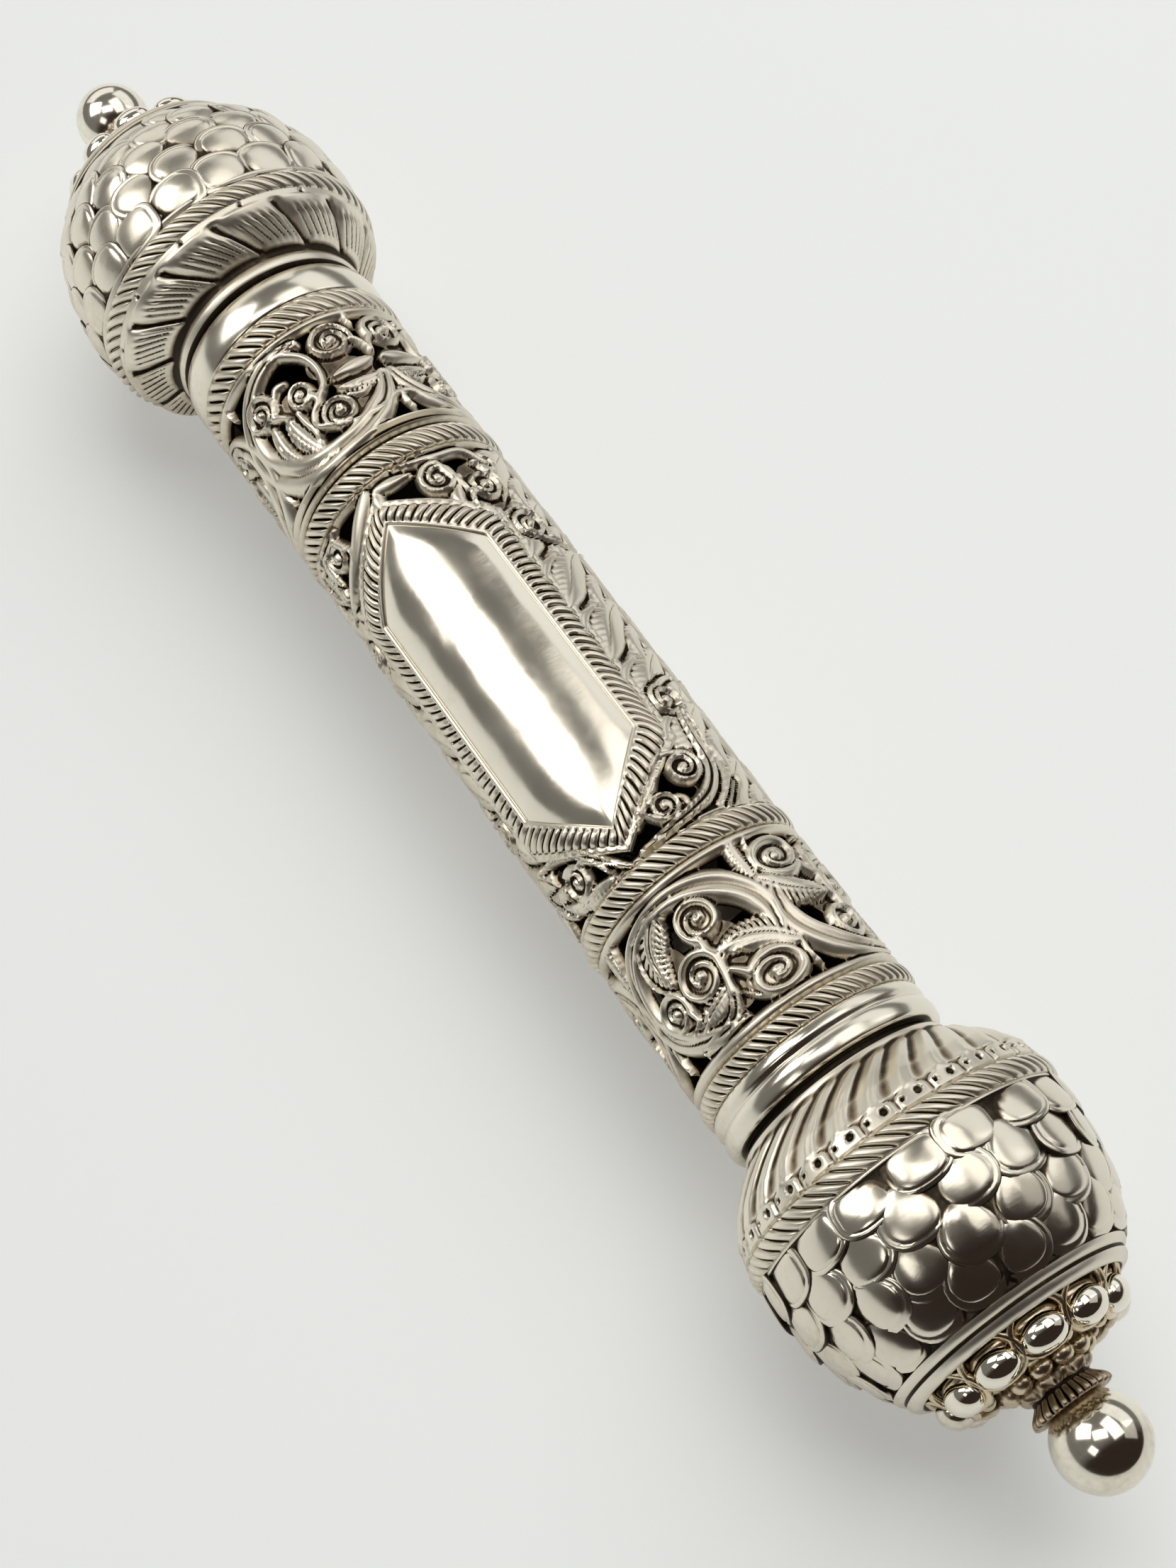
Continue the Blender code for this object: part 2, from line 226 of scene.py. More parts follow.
def oval(centre, half_u, half_v, start, end):
    """Points of a part of an oval, by angles from +u towards +v."""
    angle = np.radians(np.linspace(start, end, 72))
    return np.stack((centre[0] + half_u * np.cos(angle), centre[1] + half_v * np.sin(angle)), -1)


class Sheet:
    """Heights over a sheet of points, and how far inside the ornament each one lies."""

    def __init__(self, u, v):
        self.u, self.v = u, v
        self.height = np.full(u.shape, GROUND)
        self.cover = np.full(u.shape, -FAR_AWAY)

    def lay(self, rise, cover, where=slice(None)):
        """Lays a shape that rises from the ground; of two shapes, the taller shows."""
        taller = np.maximum(self.height[where], GROUND + rise)
        self.height[where] = np.where(cover > 0.0, taller, self.height[where])
        self.cover[where] = np.maximum(self.cover[where], cover)

    def nearest(self, path, reach):
        """The points near a line, their distance from it, share along it and side, and its length.

        A list holds given points, which are joined smoothly. An array is taken as it is.
        """
        if isinstance(path, list):
            path = smooth_path(path)
        low, high = path.min(0) - reach, path.max(0) + reach
        inside = (self.u > low[0]) & (self.u < high[0]) & (self.v > low[1]) & (self.v < high[1])
        where = np.nonzero(inside)
        u, v = self.u[where][:, None], self.v[where][:, None]
        start, step = path[:-1], np.diff(path, axis=0)
        length = np.maximum(np.hypot(*step.T), 1e-6)
        du, dv = u - start[:, 0], v - start[:, 1]
        t = np.clip((du * step[:, 0] + dv * step[:, 1]) / length**2, 0.0, 1.0)
        eu, ev = du - t * step[:, 0], dv - t * step[:, 1]
        best = np.argmin(eu**2 + ev**2, axis=1)
        row = np.arange(len(best))
        distance = np.hypot(eu[row, best], ev[row, best])
        before = np.concatenate(([0.0], np.cumsum(length)[:-1]))
        share = (before[best] + t[row, best] * length[best]) / length.sum()
        cross = step[best, 0] * dv[row, best] - step[best, 1] * du[row, best]
        return where, distance, share, np.sign(cross), length.sum()

    def stroke(self, path, widths, top):
        """A rounded ridge along a line. widths are its half widths from start to end."""
        where, distance, share, _, _ = self.nearest(path, max(widths) + MARGIN)
        half = np.interp(share, np.linspace(0.0, 1.0, len(widths)), widths)
        self.lay((top - GROUND) * crest(distance / half), half - distance, where)

    def disc(self, centre, radius, top, stretch=1.0, dish=0.0):
        """A low round patch, dished in its middle."""
        away = np.hypot(self.u - centre[0], (self.v - centre[1]) / stretch)
        where = np.nonzero(away < radius + MARGIN)
        q = away[where] / radius
        rise = (top - GROUND) * crest(q, 0.3) - dish * crest(q, 1.0)
        self.lay(rise, radius - away[where], where)

    def strap(self, path, widths, ridges, top, low=0.45):
        """A broad band of ridges that run side by side along a line."""
        where, distance, share, side, _ = self.nearest(path, max(widths) + MARGIN)
        half = np.interp(share, np.linspace(0.0, 1.0, len(widths)), widths)
        q = np.clip(side * distance / half, -1.0, 1.0)
        lines = 0.5 - 0.5 * np.cos(math.pi * ridges * (q + 1.0))
        rise = (top - GROUND) * (low * crest(q, 0.35) + (1.0 - low) * lines**0.8)
        self.lay(rise, half - distance, where)

    def scroll(self, centre, radius, start, hand, tail=(), stretch=1.0, top=0.62, width=0.0):
        """A volute: a ridge that comes in along its tail and winds to a bead."""
        width = width or 0.06 + 0.14 * radius
        line = spiral(centre, radius - width, start, hand, stretch)
        widths = VOLUTE_WIDTHS
        if tail:
            line = np.vstack((smooth_path([*tail, line[0]])[:-1], line))
            widths = TAIL_WIDTHS + VOLUTE_WIDTHS
        self.disc(centre, radius * 0.93, 0.12, stretch, 0.12)
        self.stroke(line, np.array(widths) * width, top)
        self.disc(centre, radius * 0.24, top - 0.02, stretch)

    def leaf(self, points, width, top=0.5, hatch=(0.3, 0.3), pitch=0.62, fat=0.7, rib=0.25):
        """A leaf from its foot to its tip, with a rib; hatch is how deep each side is cut."""
        where, distance, share, side, length = self.nearest(points, width)
        half = 0.5 * width * np.sin(math.pi * np.clip(share, 1e-4, 1.0) ** fat) ** 0.7
        q = distance / np.maximum(half, 1e-3)
        rise = (top - GROUND) * crest(q, 0.4)
        rise -= rib * np.exp(-((distance / 0.13) ** 2))
        cuts = 0.5 - 0.5 * np.cos(FULL_TURN * (share * length - 0.6 * distance) / pitch)
        marks = smoothstep(0.15, 0.4, q) * np.where(side > 0.0, hatch[1], hatch[0])
        rise -= marks * cuts**1.6
        self.lay(rise, half - distance - marks * cuts * smoothstep(0.5, 1.0, q), where)

    def web(self, centre, half_u, half_v):
        """An oval of sunk ground that is left standing."""
        away = np.hypot((self.u - centre[0]) / half_u, (self.v - centre[1]) / half_v)
        inside = (1.0 - away) * min(half_u, half_v)
        self.cover = np.maximum(self.cover, inside)

    def line(self, along, half, top):
        """A ridge that runs right round the tube."""
        distance = np.abs(self.u - along)
        self.lay((top - GROUND) * crest(distance / half), half - distance)

    def place(self, along, degrees, flips, reach, draw, over=False):
        """Draws an ornament on this sheet about a place; flips of -1 mirror it along or round.

        With over, it hides what was there before and has a narrow moat about it.
        """
        du, dv = self.u - along, round_from(self.v, degrees)
        where = np.nonzero((np.abs(du) < reach[0]) & (np.abs(dv) < reach[1]))
        part = Sheet(flips[0] * du[where], flips[1] * dv[where])
        draw(part)
        taller = np.maximum(self.height[where], part.height)
        self.height[where] = np.where(over & (part.cover > -MOAT), part.height, taller)
        self.cover[where] = np.maximum(self.cover[where], part.cover)


# How an ornament is mirrored: along the tube, and round it.
PLAIN = (1, 1)
TURNED = (-1, -1)
FLIPPED = (1, -1)


def near_medallion(part):
    """The round medallion of the near band: four volutes, a crescent leaf and two small ones."""
    rim = [0.3, 1.2, 1.7, 1.5, 1.15, 1.0, 1.3, 1.8, 1.6, 0.6]
    part.strap(oval((0.0, 0.1), 7.25, 9.0, -4.0, 296.0), rim, 2, 0.6, 0.62)
    part.strap([(0.9, -2.2), (-0.4, -1.2), (-1.6, -0.7)], [0.6, 0.6, 0.4], 2, 0.45)
    part.scroll((-3.45, -2.2), 2.55, 30, 1, tail=[(0.7, -1.9), (-0.4, -1.3)], width=0.46)
    part.scroll((5.4, -5.65), 2.7, 130, 1, tail=[(2.6, -2.2), (3.3, -2.9)], stretch=1.35, width=0.6)
    sweep = [(7.0, 5.2), (7.2, 2.4), (6.5, 0.3), (4.7, -1.0), (2.6, -1.5)]
    part.strap(sweep, [0.7, 0.95, 0.8, 0.6, 0.4], 2, 0.56)
    part.scroll((1.15, 0.7), 2.85, -75, -1, tail=sweep[3:], width=0.5)
    part.scroll((2.05, 5.6), 2.5, -60, -1, tail=[(5.0, 4.9), (4.4, 3.6)], width=0.45)
    broad = [(3.9, -9.6), (2.0, -7.6), (0.9, -5.6), (0.4, -3.8), (0.3, -1.7)]
    part.leaf(broad, 4.2, 0.55, (0.06, 0.5), 0.68)
    part.leaf([(3.4, -8.6), (2.1, -6.6), (1.5, -4.8), (1.2, -2.6)], 1.5, 0.6, (0.0, 0.2), 0.6)
    crescent = [(-7.2, 0.0), (-5.9, 2.2), (-4.0, 3.9), (-1.9, 4.3), (0.1, 3.9)]
    part.leaf(crescent, 4.3, 0.42, (0.35, 0.3), 0.72, 0.85)
    part.leaf([(3.7, -1.4), (4.6, 1.4), (5.6, 5.0)], 3.1, 0.45, (0.1, 0.45), 0.6)
    part.web((0.6, -3.6), 2.6, 1.6)
    part.web((4.4, 4.4), 1.7, 1.9)
    part.web((4.9, -1.2), 1.5, 1.3)
    part.web((-1.6, 2.6), 1.6, 1.2)
    part.web((-0.6, 7.6), 1.8, 0.9)
    part.stroke([(-5.9, 4.4), (-4.4, 5.6), (-2.6, 6.1), (-0.9, 5.6), (0.0, 4.5)], [0.2, 0.28, 0.2], 0.56)
    inner_rim = [(4.1, 2.3), (5.5, 3.2), (5.8, 4.6), (4.9, 6.6), (3.0, 8.2), (0.2, 8.8)]
    part.stroke(inner_rim, [0.25, 0.33, 0.25], 0.5)
    part.stroke([(-6.5, 4.6), (-5.0, 6.7), (-3.3, 8.0), (-0.8, 8.5)], [0.25, 0.32, 0.25], 0.45)
    part.stroke([(-7.0, -1.6), (-6.7, 0.0), (-7.0, 2.6), (-6.2, 4.8)], [0.22, 0.3, 0.25], 0.5)
    part.stroke([(-5.6, -3.6), (-6.4, -1.9), (-6.9, -0.4)], [0.3, 0.5, 0.3], 0.35)
    part.stroke([(5.0, -1.6), (6.4, -2.6), (7.6, -4.2)], [0.2, 0.3, 0.2], 0.15)
    part.stroke([(-4.3, 6.0), (-2.6, 7.7), (-0.4, 8.0)], [0.15, 0.3, 0.2], 0.1)


def far_medallion(part):
    """The round medallion of the far band: four volutes, a broad half leaf and buds."""
    rim = [0.9, 1.7, 1.6, 2.0, 2.4, 1.9, 1.3, 1.0, 0.7]
    part.strap(oval((-1.3, 0.1), 7.4, 9.1, -80.0, 196.0), rim, 2, 0.58, 0.62)
    left_sweep = [(-9.6, 3.6), (-8.6, 0.2), (-6.6, -2.3), (-4.4, -2.9), (-2.2, -2.3), (-1.2, -1.0)]
    part.stroke(left_sweep, [0.4, 0.62, 0.55, 0.4], 0.45)
    part.scroll((-2.65, 0.35), 1.85, -50, 1, tail=[(0.5, 0.4), (-0.3, -0.9)], width=0.42)
    part.scroll((2.1, -2.15), 2.2, 40, 1, tail=[(-1.4, -1.9), (0.4, 0.2), (2.0, 0.6)], width=0.4)
    part.scroll((-4.8, 5.5), 2.4, -30, -1, tail=[(-1.2, 2.6), (-2.4, 3.6)])
    part.scroll((-6.7, -6.0), 2.5, -70, -1, tail=[(-3.4, -9.4), (-5.0, -9.0)], stretch=1.12)
    part.leaf([(-2.4, -9.0), (-2.3, -6.2), (-1.9, -3.0)], 1.9, 0.55, (0.0, 0.0), 0.6, 0.7, 0.0)
    part.leaf([(0.2, -9.2), (0.2, -6.0), (-0.5, -3.0)], 2.1, 0.5, (0.4, 0.1), 0.55)
    part.leaf([(-1.9, 3.3), (0.8, 3.3), (3.4, 2.6), (6.4, 1.0)], 2.6, 0.5, (0.1, 0.35), 0.6, 0.8)
    part.leaf([(-2.6, 5.2), (0.0, 5.8), (2.5, 5.3), (4.8, 3.4)], 1.9, 0.45, (0.3, 0.1), 0.5)
    part.stroke([(3.0, -9.0), (4.2, -6.4), (4.4, -3.8), (3.6, -1.2), (2.4, 0.6)], [0.5, 0.45, 0.3], 0.5)
    part.strap([(5.9, 0.6), (5.2, 3.8), (3.2, 6.4), (-0.6, 8.4)], [0.35, 0.8, 0.4], 2, 0.5)
    part.stroke([(-1.2, 1.8), (0.4, 1.6), (2.2, 1.3), (4.2, 1.5)], [0.5, 0.6, 0.3], 0.35)
    part.stroke([(-5.4, 1.2), (-5.6, 2.4), (-4.6, 3.4)], [0.4, 0.6, 0.3], 0.2)
    part.stroke([(0.6, -4.0), (1.2, -5.4), (0.7, -7.4)], [0.3, 0.45, 0.2], 0.1)
    part.web((-4.4, -4.0), 1.6, 2.2)
    part.web((-1.6, -6.0), 2.6, 2.6)
    part.web((-2.2, 2.0), 2.0, 1.4)
    part.web((2.2, -5.6), 1.8, 2.4)


def leafed_spandrel(part):
    """The corner between two medallions and a border: a short leaf."""
    part.leaf([(-2.4, 0.0), (0.4, 0.1), (3.4, 0.0)], 2.0, 0.45, (0.3, 0.3), 0.5)
    part.stroke([(-2.4, -1.9), (-0.4, -1.4), (2.4, -0.4)], [0.25, 0.3, 0.25], 0.4)


def open_spandrel(part):
    """The corner between two medallions and a border: nearly all open, with one stem across."""
    part.stroke([(-2.8, 0.0), (-1.2, 0.1), (0.4, -0.2)], [0.5, 0.4, 0.2], 0.4)


def near_top_corner(part):
    """Beyond the near end of a cartouche, on its upper side: two volutes within a broad sweep."""
    part.scroll((20.3, -9.75), 2.2, 190, 1, tail=[(19.5, -6.3), (18.3, -7.6)], width=0.42)
    part.scroll((23.3, -5.45), 1.75, 60, -1, tail=[(22.3, -2.6), (23.0, -3.3)])
    part.strap([(18.2, -8.4), (19.6, -6.6), (21.3, -4.7), (23.5, -1.9)], [0.4, 0.75, 0.4], 2, 0.5)
    sweep = [(13.6, -14.6), (17.6, -13.6), (21.4, -12.6), (23.9, -10.6)]
    sweep += [(25.1, -7.4), (25.7, -4.2), (26.0, -1.0)]
    part.strap(sweep, [0.6, 0.9, 1.0, 0.75, 0.45], 2, 0.58)
    part.stroke([(22.9, -7.5), (23.5, -8.0), (24.2, -7.9)], [0.3, 0.4, 0.3], 0.0)
    part.stroke([(23.4, -14.6), (24.9, -13.2), (26.4, -11.4)], [0.3, 0.25, 0.3], 0.3)


def far_top_corner(part):
    """Beyond the far end of a cartouche, on its upper side: two volutes and a smooth leaf."""
    part.scroll((-23.1, -7.4), 2.4, 200, -1, tail=[(-20.2, -9.6), (-21.6, -9.3)], width=0.48)
    part.scroll((-20.4, -11.9), 2.15, 80, -1, tail=[(-17.2, -9.0), (-18.8, -9.4)])
    part.stroke([(-22.4, -9.6), (-19.6, -8.1), (-17.6, -8.6)], [0.7, 1.0, 0.6], 0.35)
    part.web((-22.6, -11.4), 1.4, 1.4)
    part.web((-18.4, -11.8), 1.3, 1.3)
    part.leaf([(-18.6, -8.8), (-16.8, -10.2), (-14.4, -10.6)], 2.4, 0.45, (0.3, 0.4), 0.6)
    part.leaf([(-25.8, -0.4), (-25.4, -2.8), (-24.9, -5.4)], 1.7, 0.5, (0.0, 0.0), 0.6, 0.8, 0.0)
    part.leaf([(-26.2, 0.3), (-24.9, -0.4), (-23.2, -0.3)], 1.9, 0.45, (0.0, 0.0), 0.6, 0.9, 0.0)
    part.stroke([(-26.6, -4.0), (-25.8, -8.4), (-25.7, -12.0), (-23.6, -14.4)], [0.4, 0.6, 0.6, 0.5], 0.42)


def near_bottom_corner(part):
    """Beyond the near end of a cartouche, on its lower side: a volute and long leaves."""
    part.scroll((23.1, 7.0), 2.1, 150, 1, tail=[(25.2, 3.0), (22.6, 4.3)])
    sweep = [(26.0, 1.0), (23.4, 3.2), (21.0, 5.0), (19.4, 7.8), (18.6, 11.0)]
    part.strap(sweep, [0.3, 0.6, 0.8, 0.6, 0.4], 2, 0.5)
    part.leaf([(26.0, 2.6), (25.6, 6.4), (24.6, 9.6), (22.4, 12.4)], 2.0, 0.45, (0.3, 0.1), 0.6)
    part.leaf([(22.2, 9.4), (21.8, 11.8), (20.2, 14.0)], 1.9, 0.4, (0.3, 0.3), 0.6)
    part.web((20.9, 9.3), 0.7, 0.5)


def far_bottom_corner(part):
    """Beyond the far end of a cartouche, on its lower side: a long smooth leaf and a volute."""
    part.scroll((-24.2, 7.6), 2.0, 220, -1, tail=[(-21.6, 5.6), (-22.9, 5.3)])
    smooth_leaf = [(-26.6, -0.3), (-24.7, 2.0), (-22.3, 4.9), (-20.0, 9.4), (-18.7, 12.6)]
    part.leaf(smooth_leaf, 2.2, 0.52, (0.0, 0.0), 0.6, 0.55, 0.0)
    part.leaf([(-25.6, 12.8), (-23.2, 11.6), (-20.4, 12.0)], 2.2, 0.42, (0.3, 0.3), 0.6)
    part.leaf([(-26.6, 9.8), (-24.6, 10.6), (-21.6, 9.8)], 1.6, 0.42, (0.3, 0.1), 0.6)
    part.stroke([(-26.6, 5.8), (-25.9, 7.6), (-26.2, 10.0)], [0.4, 0.5, 0.4], 0.35)


def foliage(part):
    """Close leaves to both sides of a stem that runs between the cartouches."""
    stem = [(-29.0, 0.0), (-20.0, 0.5), (-10.0, -0.5), (0.0, 0.5), (10.0, -0.5), (20.0, 0.5), (29.0, 0.0)]
    part.strap(stem, [1.3, 1.3], 2, 0.5, 0.6)
    for index in range(-3, 4):
        along = index * 7.6
        for side in (-1, 1):
            start = along + 1.9 * side
            long_leaf = [(start - 4.6, side * 0.4), (start - 1.6, side * 4.2), (start + 4.2, side * 8.6)]
            part.leaf(long_leaf, 5.6, 0.46, (0.0, 0.12), 0.9, 0.75, 0.14)
            short_leaf = [(start - 0.8, side * 0.8), (start + 1.8, side * 3.0), (start + 5.0, side * 3.9)]
            part.leaf(short_leaf, 3.0, 0.55, (0.1, 0.1), 0.8, 0.8, 0.12)
            edge = [(start - 3.4, side * 5.2), (start - 2.0, side * 7.6), (start + 0.4, side * 9.2)]
            part.stroke(edge, [0.5, 0.9, 0.6], 0.4)
            part.web((start - 3.0, side * 3.6), 1.6, 1.6)


def foliage_volutes(part):
    """Volutes that lie over the leaves between the cartouches."""
    for along, hand in ((-14.0, 1), (12.0, -1)):
        for side in (-1, 1):
            tail = [(along + 3.4 * hand, side * 1.2), (along + 2.9 * hand, side * 3.0)]
            part.scroll((along, side * 5.2), 2.3, 0 if hand > 0 else 180, side * hand, tail=tail, top=0.66)


NEAR_LINES = ((31.2, 0.62, 0.45), (48.3, 0.7, 0.45))
FAR_LINES = ((-29.5, 0.4, 0.5), (-30.7, 0.4, 0.5), (-47.3, 0.55, 0.5))
MIDDLE_LINES = ((-25.5, 0.4, 0.35), (27.6, 0.4, 0.35))
MEDALLIONS = 4
QUARTER = ROUND / MEDALLIONS
SPANDREL_REACH = (3.6, 5.0)
FOLIAGE_REACH = (27.5, 9.0)
CORNER_REACH = (FRAME_LONG + 4.0, 15.0)


def band(sheet, lines, along, first, flips, reach, medallion, spandrels):
    """A row of medallions between ridges, with its spandrels halfway between them."""
    for line in lines:
        sheet.line(*line)
    for index in range(MEDALLIONS):
        angle = first + index * QUARTER
        sheet.place(along, angle, flips if index % 2 else PLAIN, reach, medallion)
        for place, spandrel in spandrels:
            sheet.place(place, angle + QUARTER / 2.0, PLAIN, SPANDREL_REACH, spandrel)


def near_ornament(sheet):
    """All the chased work of the near band."""
    spandrels = ((33.3, leafed_spandrel), (46.6, open_spandrel))
    band(sheet, NEAR_LINES, 39.9, 33.0, TURNED, (9.4, 11.5), near_medallion, spandrels)


def far_ornament(sheet):
    """All the chased work of the far band."""
    spandrels = ((-32.0, open_spandrel), (-45.6, open_spandrel))
    band(sheet, FAR_LINES, -37.35, 23.0, FLIPPED, (11.4, 12.0), far_medallion, spandrels)


def hexagon_inside(u, v, long, shoulder, half):
    """How far inside a long hexagon a point lies."""
    slope = math.hypot(long - shoulder, half)
    ends = ((long - np.abs(u)) * half - np.abs(v) * (long - shoulder)) / slope
    return np.minimum(half - np.abs(v), ends)


def cartouche_gap(along, across):
    """How far inside the middle of a cartouche's frame each place on the tube lies."""
    plate = (PLATE_LONG, PLATE_SHOULDER, PLATE_HALF)
    sizes = [(a + b) / 2.0 for a, b in zip(plate, (FRAME_LONG, FRAME_SHOULDER, FRAME_HALF))]
    deep = [
        hexagon_inside(along - CARTOUCHE_ALONG, round_from(across, angle), *sizes)
        for angle in CARTOUCHE_ANGLES
    ]
    return np.maximum(*deep)


def middle_ornament(sheet):
    """The chased work round the cartouches."""
    for line in MIDDLE_LINES:
        sheet.line(*line)
    for angle in CARTOUCHE_ANGLES:
        beside = angle + QUARTER
        sheet.place(CARTOUCHE_ALONG, beside, PLAIN, FOLIAGE_REACH, foliage)
        sheet.place(CARTOUCHE_ALONG, beside, PLAIN, FOLIAGE_REACH, foliage_volutes, over=True)
    for angle in CARTOUCHE_ANGLES:
        for corner in (near_top_corner, far_top_corner, near_bottom_corner, far_bottom_corner):
            sheet.place(CARTOUCHE_ALONG, angle, PLAIN, CORNER_REACH, corner, over=True)


# --- Meshes -------------------------------------------------------------------------------------

CRISP = 60.0  # degrees between two faces from which their edge is sharp
FINE_STEPS = 5  # how often a surface is smoothed to find its fine hollows
BROAD_STEPS = 24
BORE_SHADE = 1.6  # how dark the inside of the tube is painted: painted shade
HAND_WAVER = 0.12  # how far the chased lines stray
EDGE_STRIP = 0.35  # width of the plain strip at each end of an openwork band


def new_object(name, mesh, material):
    """An object in the scene, of one material."""
    made = bpy.data.objects.new(name, mesh)
    bpy.context.scene.collection.objects.link(made)
    mesh.materials.append(material)
    return made


def blank_grid(high, columns):
    """A flat grid of cells whose points are numbered, and its points by row and column."""
    piece = bmesh.new()
    cells = piece.verts.layers.int.new("cell")
    bmesh.ops.create_grid(piece, x_segments=columns, y_segments=high, size=1.0)
    grid = {}
    for vert in piece.verts:
        column = round((vert.co.x + 1.0) / 2.0 * columns)
        row = round((vert.co.y + 1.0) / 2.0 * high)
        grid[row, column] = vert
        vert[cells] = row * columns + column % columns
    return piece, grid


def close_round(piece, grid, high, columns):
    """Joins the last column of a grid to its first."""
    seam = {grid[row, columns]: grid[row, 0] for row in range(high + 1)}
    bmesh.ops.weld_verts(piece, targetmap=seam)


def woven(shape, points, ends):
    """Adds a closed skin through a grid of points (rows, columns, 3) in metres.

    Columns run round a loop. With ends "loop" the last row joins the first, and with ends
    "poles" the first and last rows are each drawn into one point.
    """
    rows, columns = points.shape[:2]
    high = rows if ends == "loop" else rows - 1
    piece, grid = blank_grid(high, columns)
    for (row, column), vert in grid.items():
        vert.co = points[row % rows, column % columns]
    close_round(piece, grid, high, columns)
    if ends == "loop":
        seam = {grid[high, column]: grid[0, column] for column in range(columns)}
    else:
        seam = {grid[row, column]: grid[row, 0] for row in (0, high) for column in range(1, columns)}
    bmesh.ops.weld_verts(piece, targetmap=seam)
    bmesh.ops.recalc_face_normals(piece, faces=piece.faces)
    mesh = bpy.data.meshes.new("woven")
    piece.to_mesh(mesh)
    piece.free()
    shape.from_mesh(mesh)
    bpy.data.meshes.remove(mesh)


def woven_object(name, skins, material, crisp):
    """One object from several closed skins, each given as (points, ends)."""
    shape = bmesh.new()
    for points, ends in skins:
        woven(shape, points, ends)
    mesh = bpy.data.meshes.new(name)
    shape.to_mesh(mesh)
    shape.free()
    return finish_mesh(new_object(name, mesh, material), crisp)


def finish_mesh(made, crisp=CRISP):
    """Smooth shading with sharp corners, and the tarnish that lies in hollows."""
    made.data.attributes.remove(made.data.attributes["cell"])
    made.data.shade_smooth()
    made.data.set_sharp_from_angle(angle=math.radians(crisp))
    tarnish(made)
    return made


def read(parts, title, width=1, kind=np.float32):
    """Numbers of a mesh's points or edges as an array, with width of them for each."""
    values = np.empty(len(parts) * width, kind)
    parts.foreach_get(title, values)
    return values.reshape(-1, width)


def store(mesh, title, values):
    """Keeps one number for each point of a mesh."""
    layer = mesh.attributes.get(title) or mesh.attributes.new(title, "FLOAT", "POINT")
    layer.data.foreach_set("value", values.astype(np.float32))


def tarnish(made):
    """Stores how hollow the surface is at each point, over a fine and over a broad reach."""
    mesh = made.data
    points = read(mesh.vertices, "co", 3).astype(float)
    count = len(points)
    a, b = read(mesh.edges, "vertices", 2, np.int32).T
    links = np.maximum(np.bincount(a, minlength=count) + np.bincount(b, minlength=count), 1)
    normals = read(mesh.vertex_normals, "vector", 3)
    soft = points.copy()
    hollows = []
    for step in range(1, BROAD_STEPS + 1):
        mean = np.empty_like(soft)
        for axis in range(3):
            mean[:, axis] = np.bincount(a, soft[b, axis], count) + np.bincount(b, soft[a, axis], count)
        soft = 0.5 * soft + 0.5 * mean / links[:, None]
        if step in (FINE_STEPS, BROAD_STEPS):
            hollows.append(((soft - points) * normals).sum(1) / MM)
    for title, values in zip(("hollow_fine", "hollow_broad"), hollows):
        store(mesh, title, values)


def openwork(name, span, cell, ornament, material, gap=None):
    """A pierced and chased shell of the tube between two places along it."""
    start, end = span
    high = max(2, round((end - start) / cell))
    columns = round(AROUND / cell)
    rows = np.linspace(start, end, high + 1)
    u, v = np.meshgrid(rows, np.arange(columns) * AROUND / columns, indexing="ij")
    height, cover = chased(u, v, span, cell, ornament)
    if gap is not None:
        cover = np.where(gap(u, v) > 0.0, -FAR_AWAY, cover)
    keep = kept_cells(cover)
    piece, grid = blank_grid(high, columns)
    dropped = []
    for face in piece.faces:
        middle = face.calc_center_median()
        row = int((middle.y + 1.0) / 2.0 * high)
        column = int((middle.x + 1.0) / 2.0 * columns)
        if not keep[row, column]:
            dropped.append(face)
    close_round(piece, grid, high, columns)
    bmesh.ops.delete(piece, geom=dropped, context="FACES")
    cells = piece.verts.layers.int["cell"]
    lifted = bmesh.ops.extrude_face_region(piece, geom=piece.faces[:])["geom"]
    for vert in (item for item in lifted if isinstance(item, bmesh.types.BMVert)):
        vert[cells] -= (high + 1) * columns
    mesh = bpy.data.meshes.new(name)
    bmesh.ops.recalc_face_normals(piece, faces=piece.faces)
    piece.to_mesh(mesh)
    piece.free()
    depth = place_cells(mesh, height, cover, u, v, keep)
    flip_inside_out(mesh)
    made = finish_mesh(new_object(name, mesh, material))
    store(mesh, "hollow_broad", depth)
    return made


def chased(u, v, span, cell, ornament):
    """The height and the cover of an ornament at each point, each a mean of four near places."""
    start, end = span
    fade = window(u, start, start + 1.5, end - 1.5, end) * window(v, 0.0, 2.0, AROUND - 2.0, AROUND)
    u_slow = u + HAND_WAVER * waver(u, v, 9.0, 3) * fade
    v_slow = v + HAND_WAVER * waver(u, v, 8.0, 4) * fade
    height, cover = np.zeros_like(u), np.zeros_like(u)
    for across in (-0.25, 0.25):
        for round_it in (-0.25, 0.25):
            sheet = Sheet(u_slow + across * cell, (v_slow + round_it * cell) % AROUND)
            ornament(sheet)
            height += sheet.height / 4.0
            cover += np.maximum(sheet.cover, -MARGIN) / 4.0
    margin = EDGE_STRIP - np.minimum(u - start, end - u)
    return height, np.maximum(cover + WEB, margin)


def kept_cells(cover):
    """Which cells of a sheet stay, with none that touch another only at a corner."""
    right = np.roll(cover, -1, axis=1)
    middle = (cover + right)[:-1] + (cover + right)[1:]
    keep = middle > 0.0
    for _ in range(20):
        below, beside = keep[1:], np.roll(keep, -1, axis=1)
        slant = keep[:-1] & ~beside[:-1] & ~below & np.roll(below, -1, axis=1)
        other = ~keep[:-1] & beside[:-1] & below & ~np.roll(below, -1, axis=1)
        if not (slant.any() or other.any()):
            break
        keep[:-1] |= other
        keep[1:] |= slant
    return keep


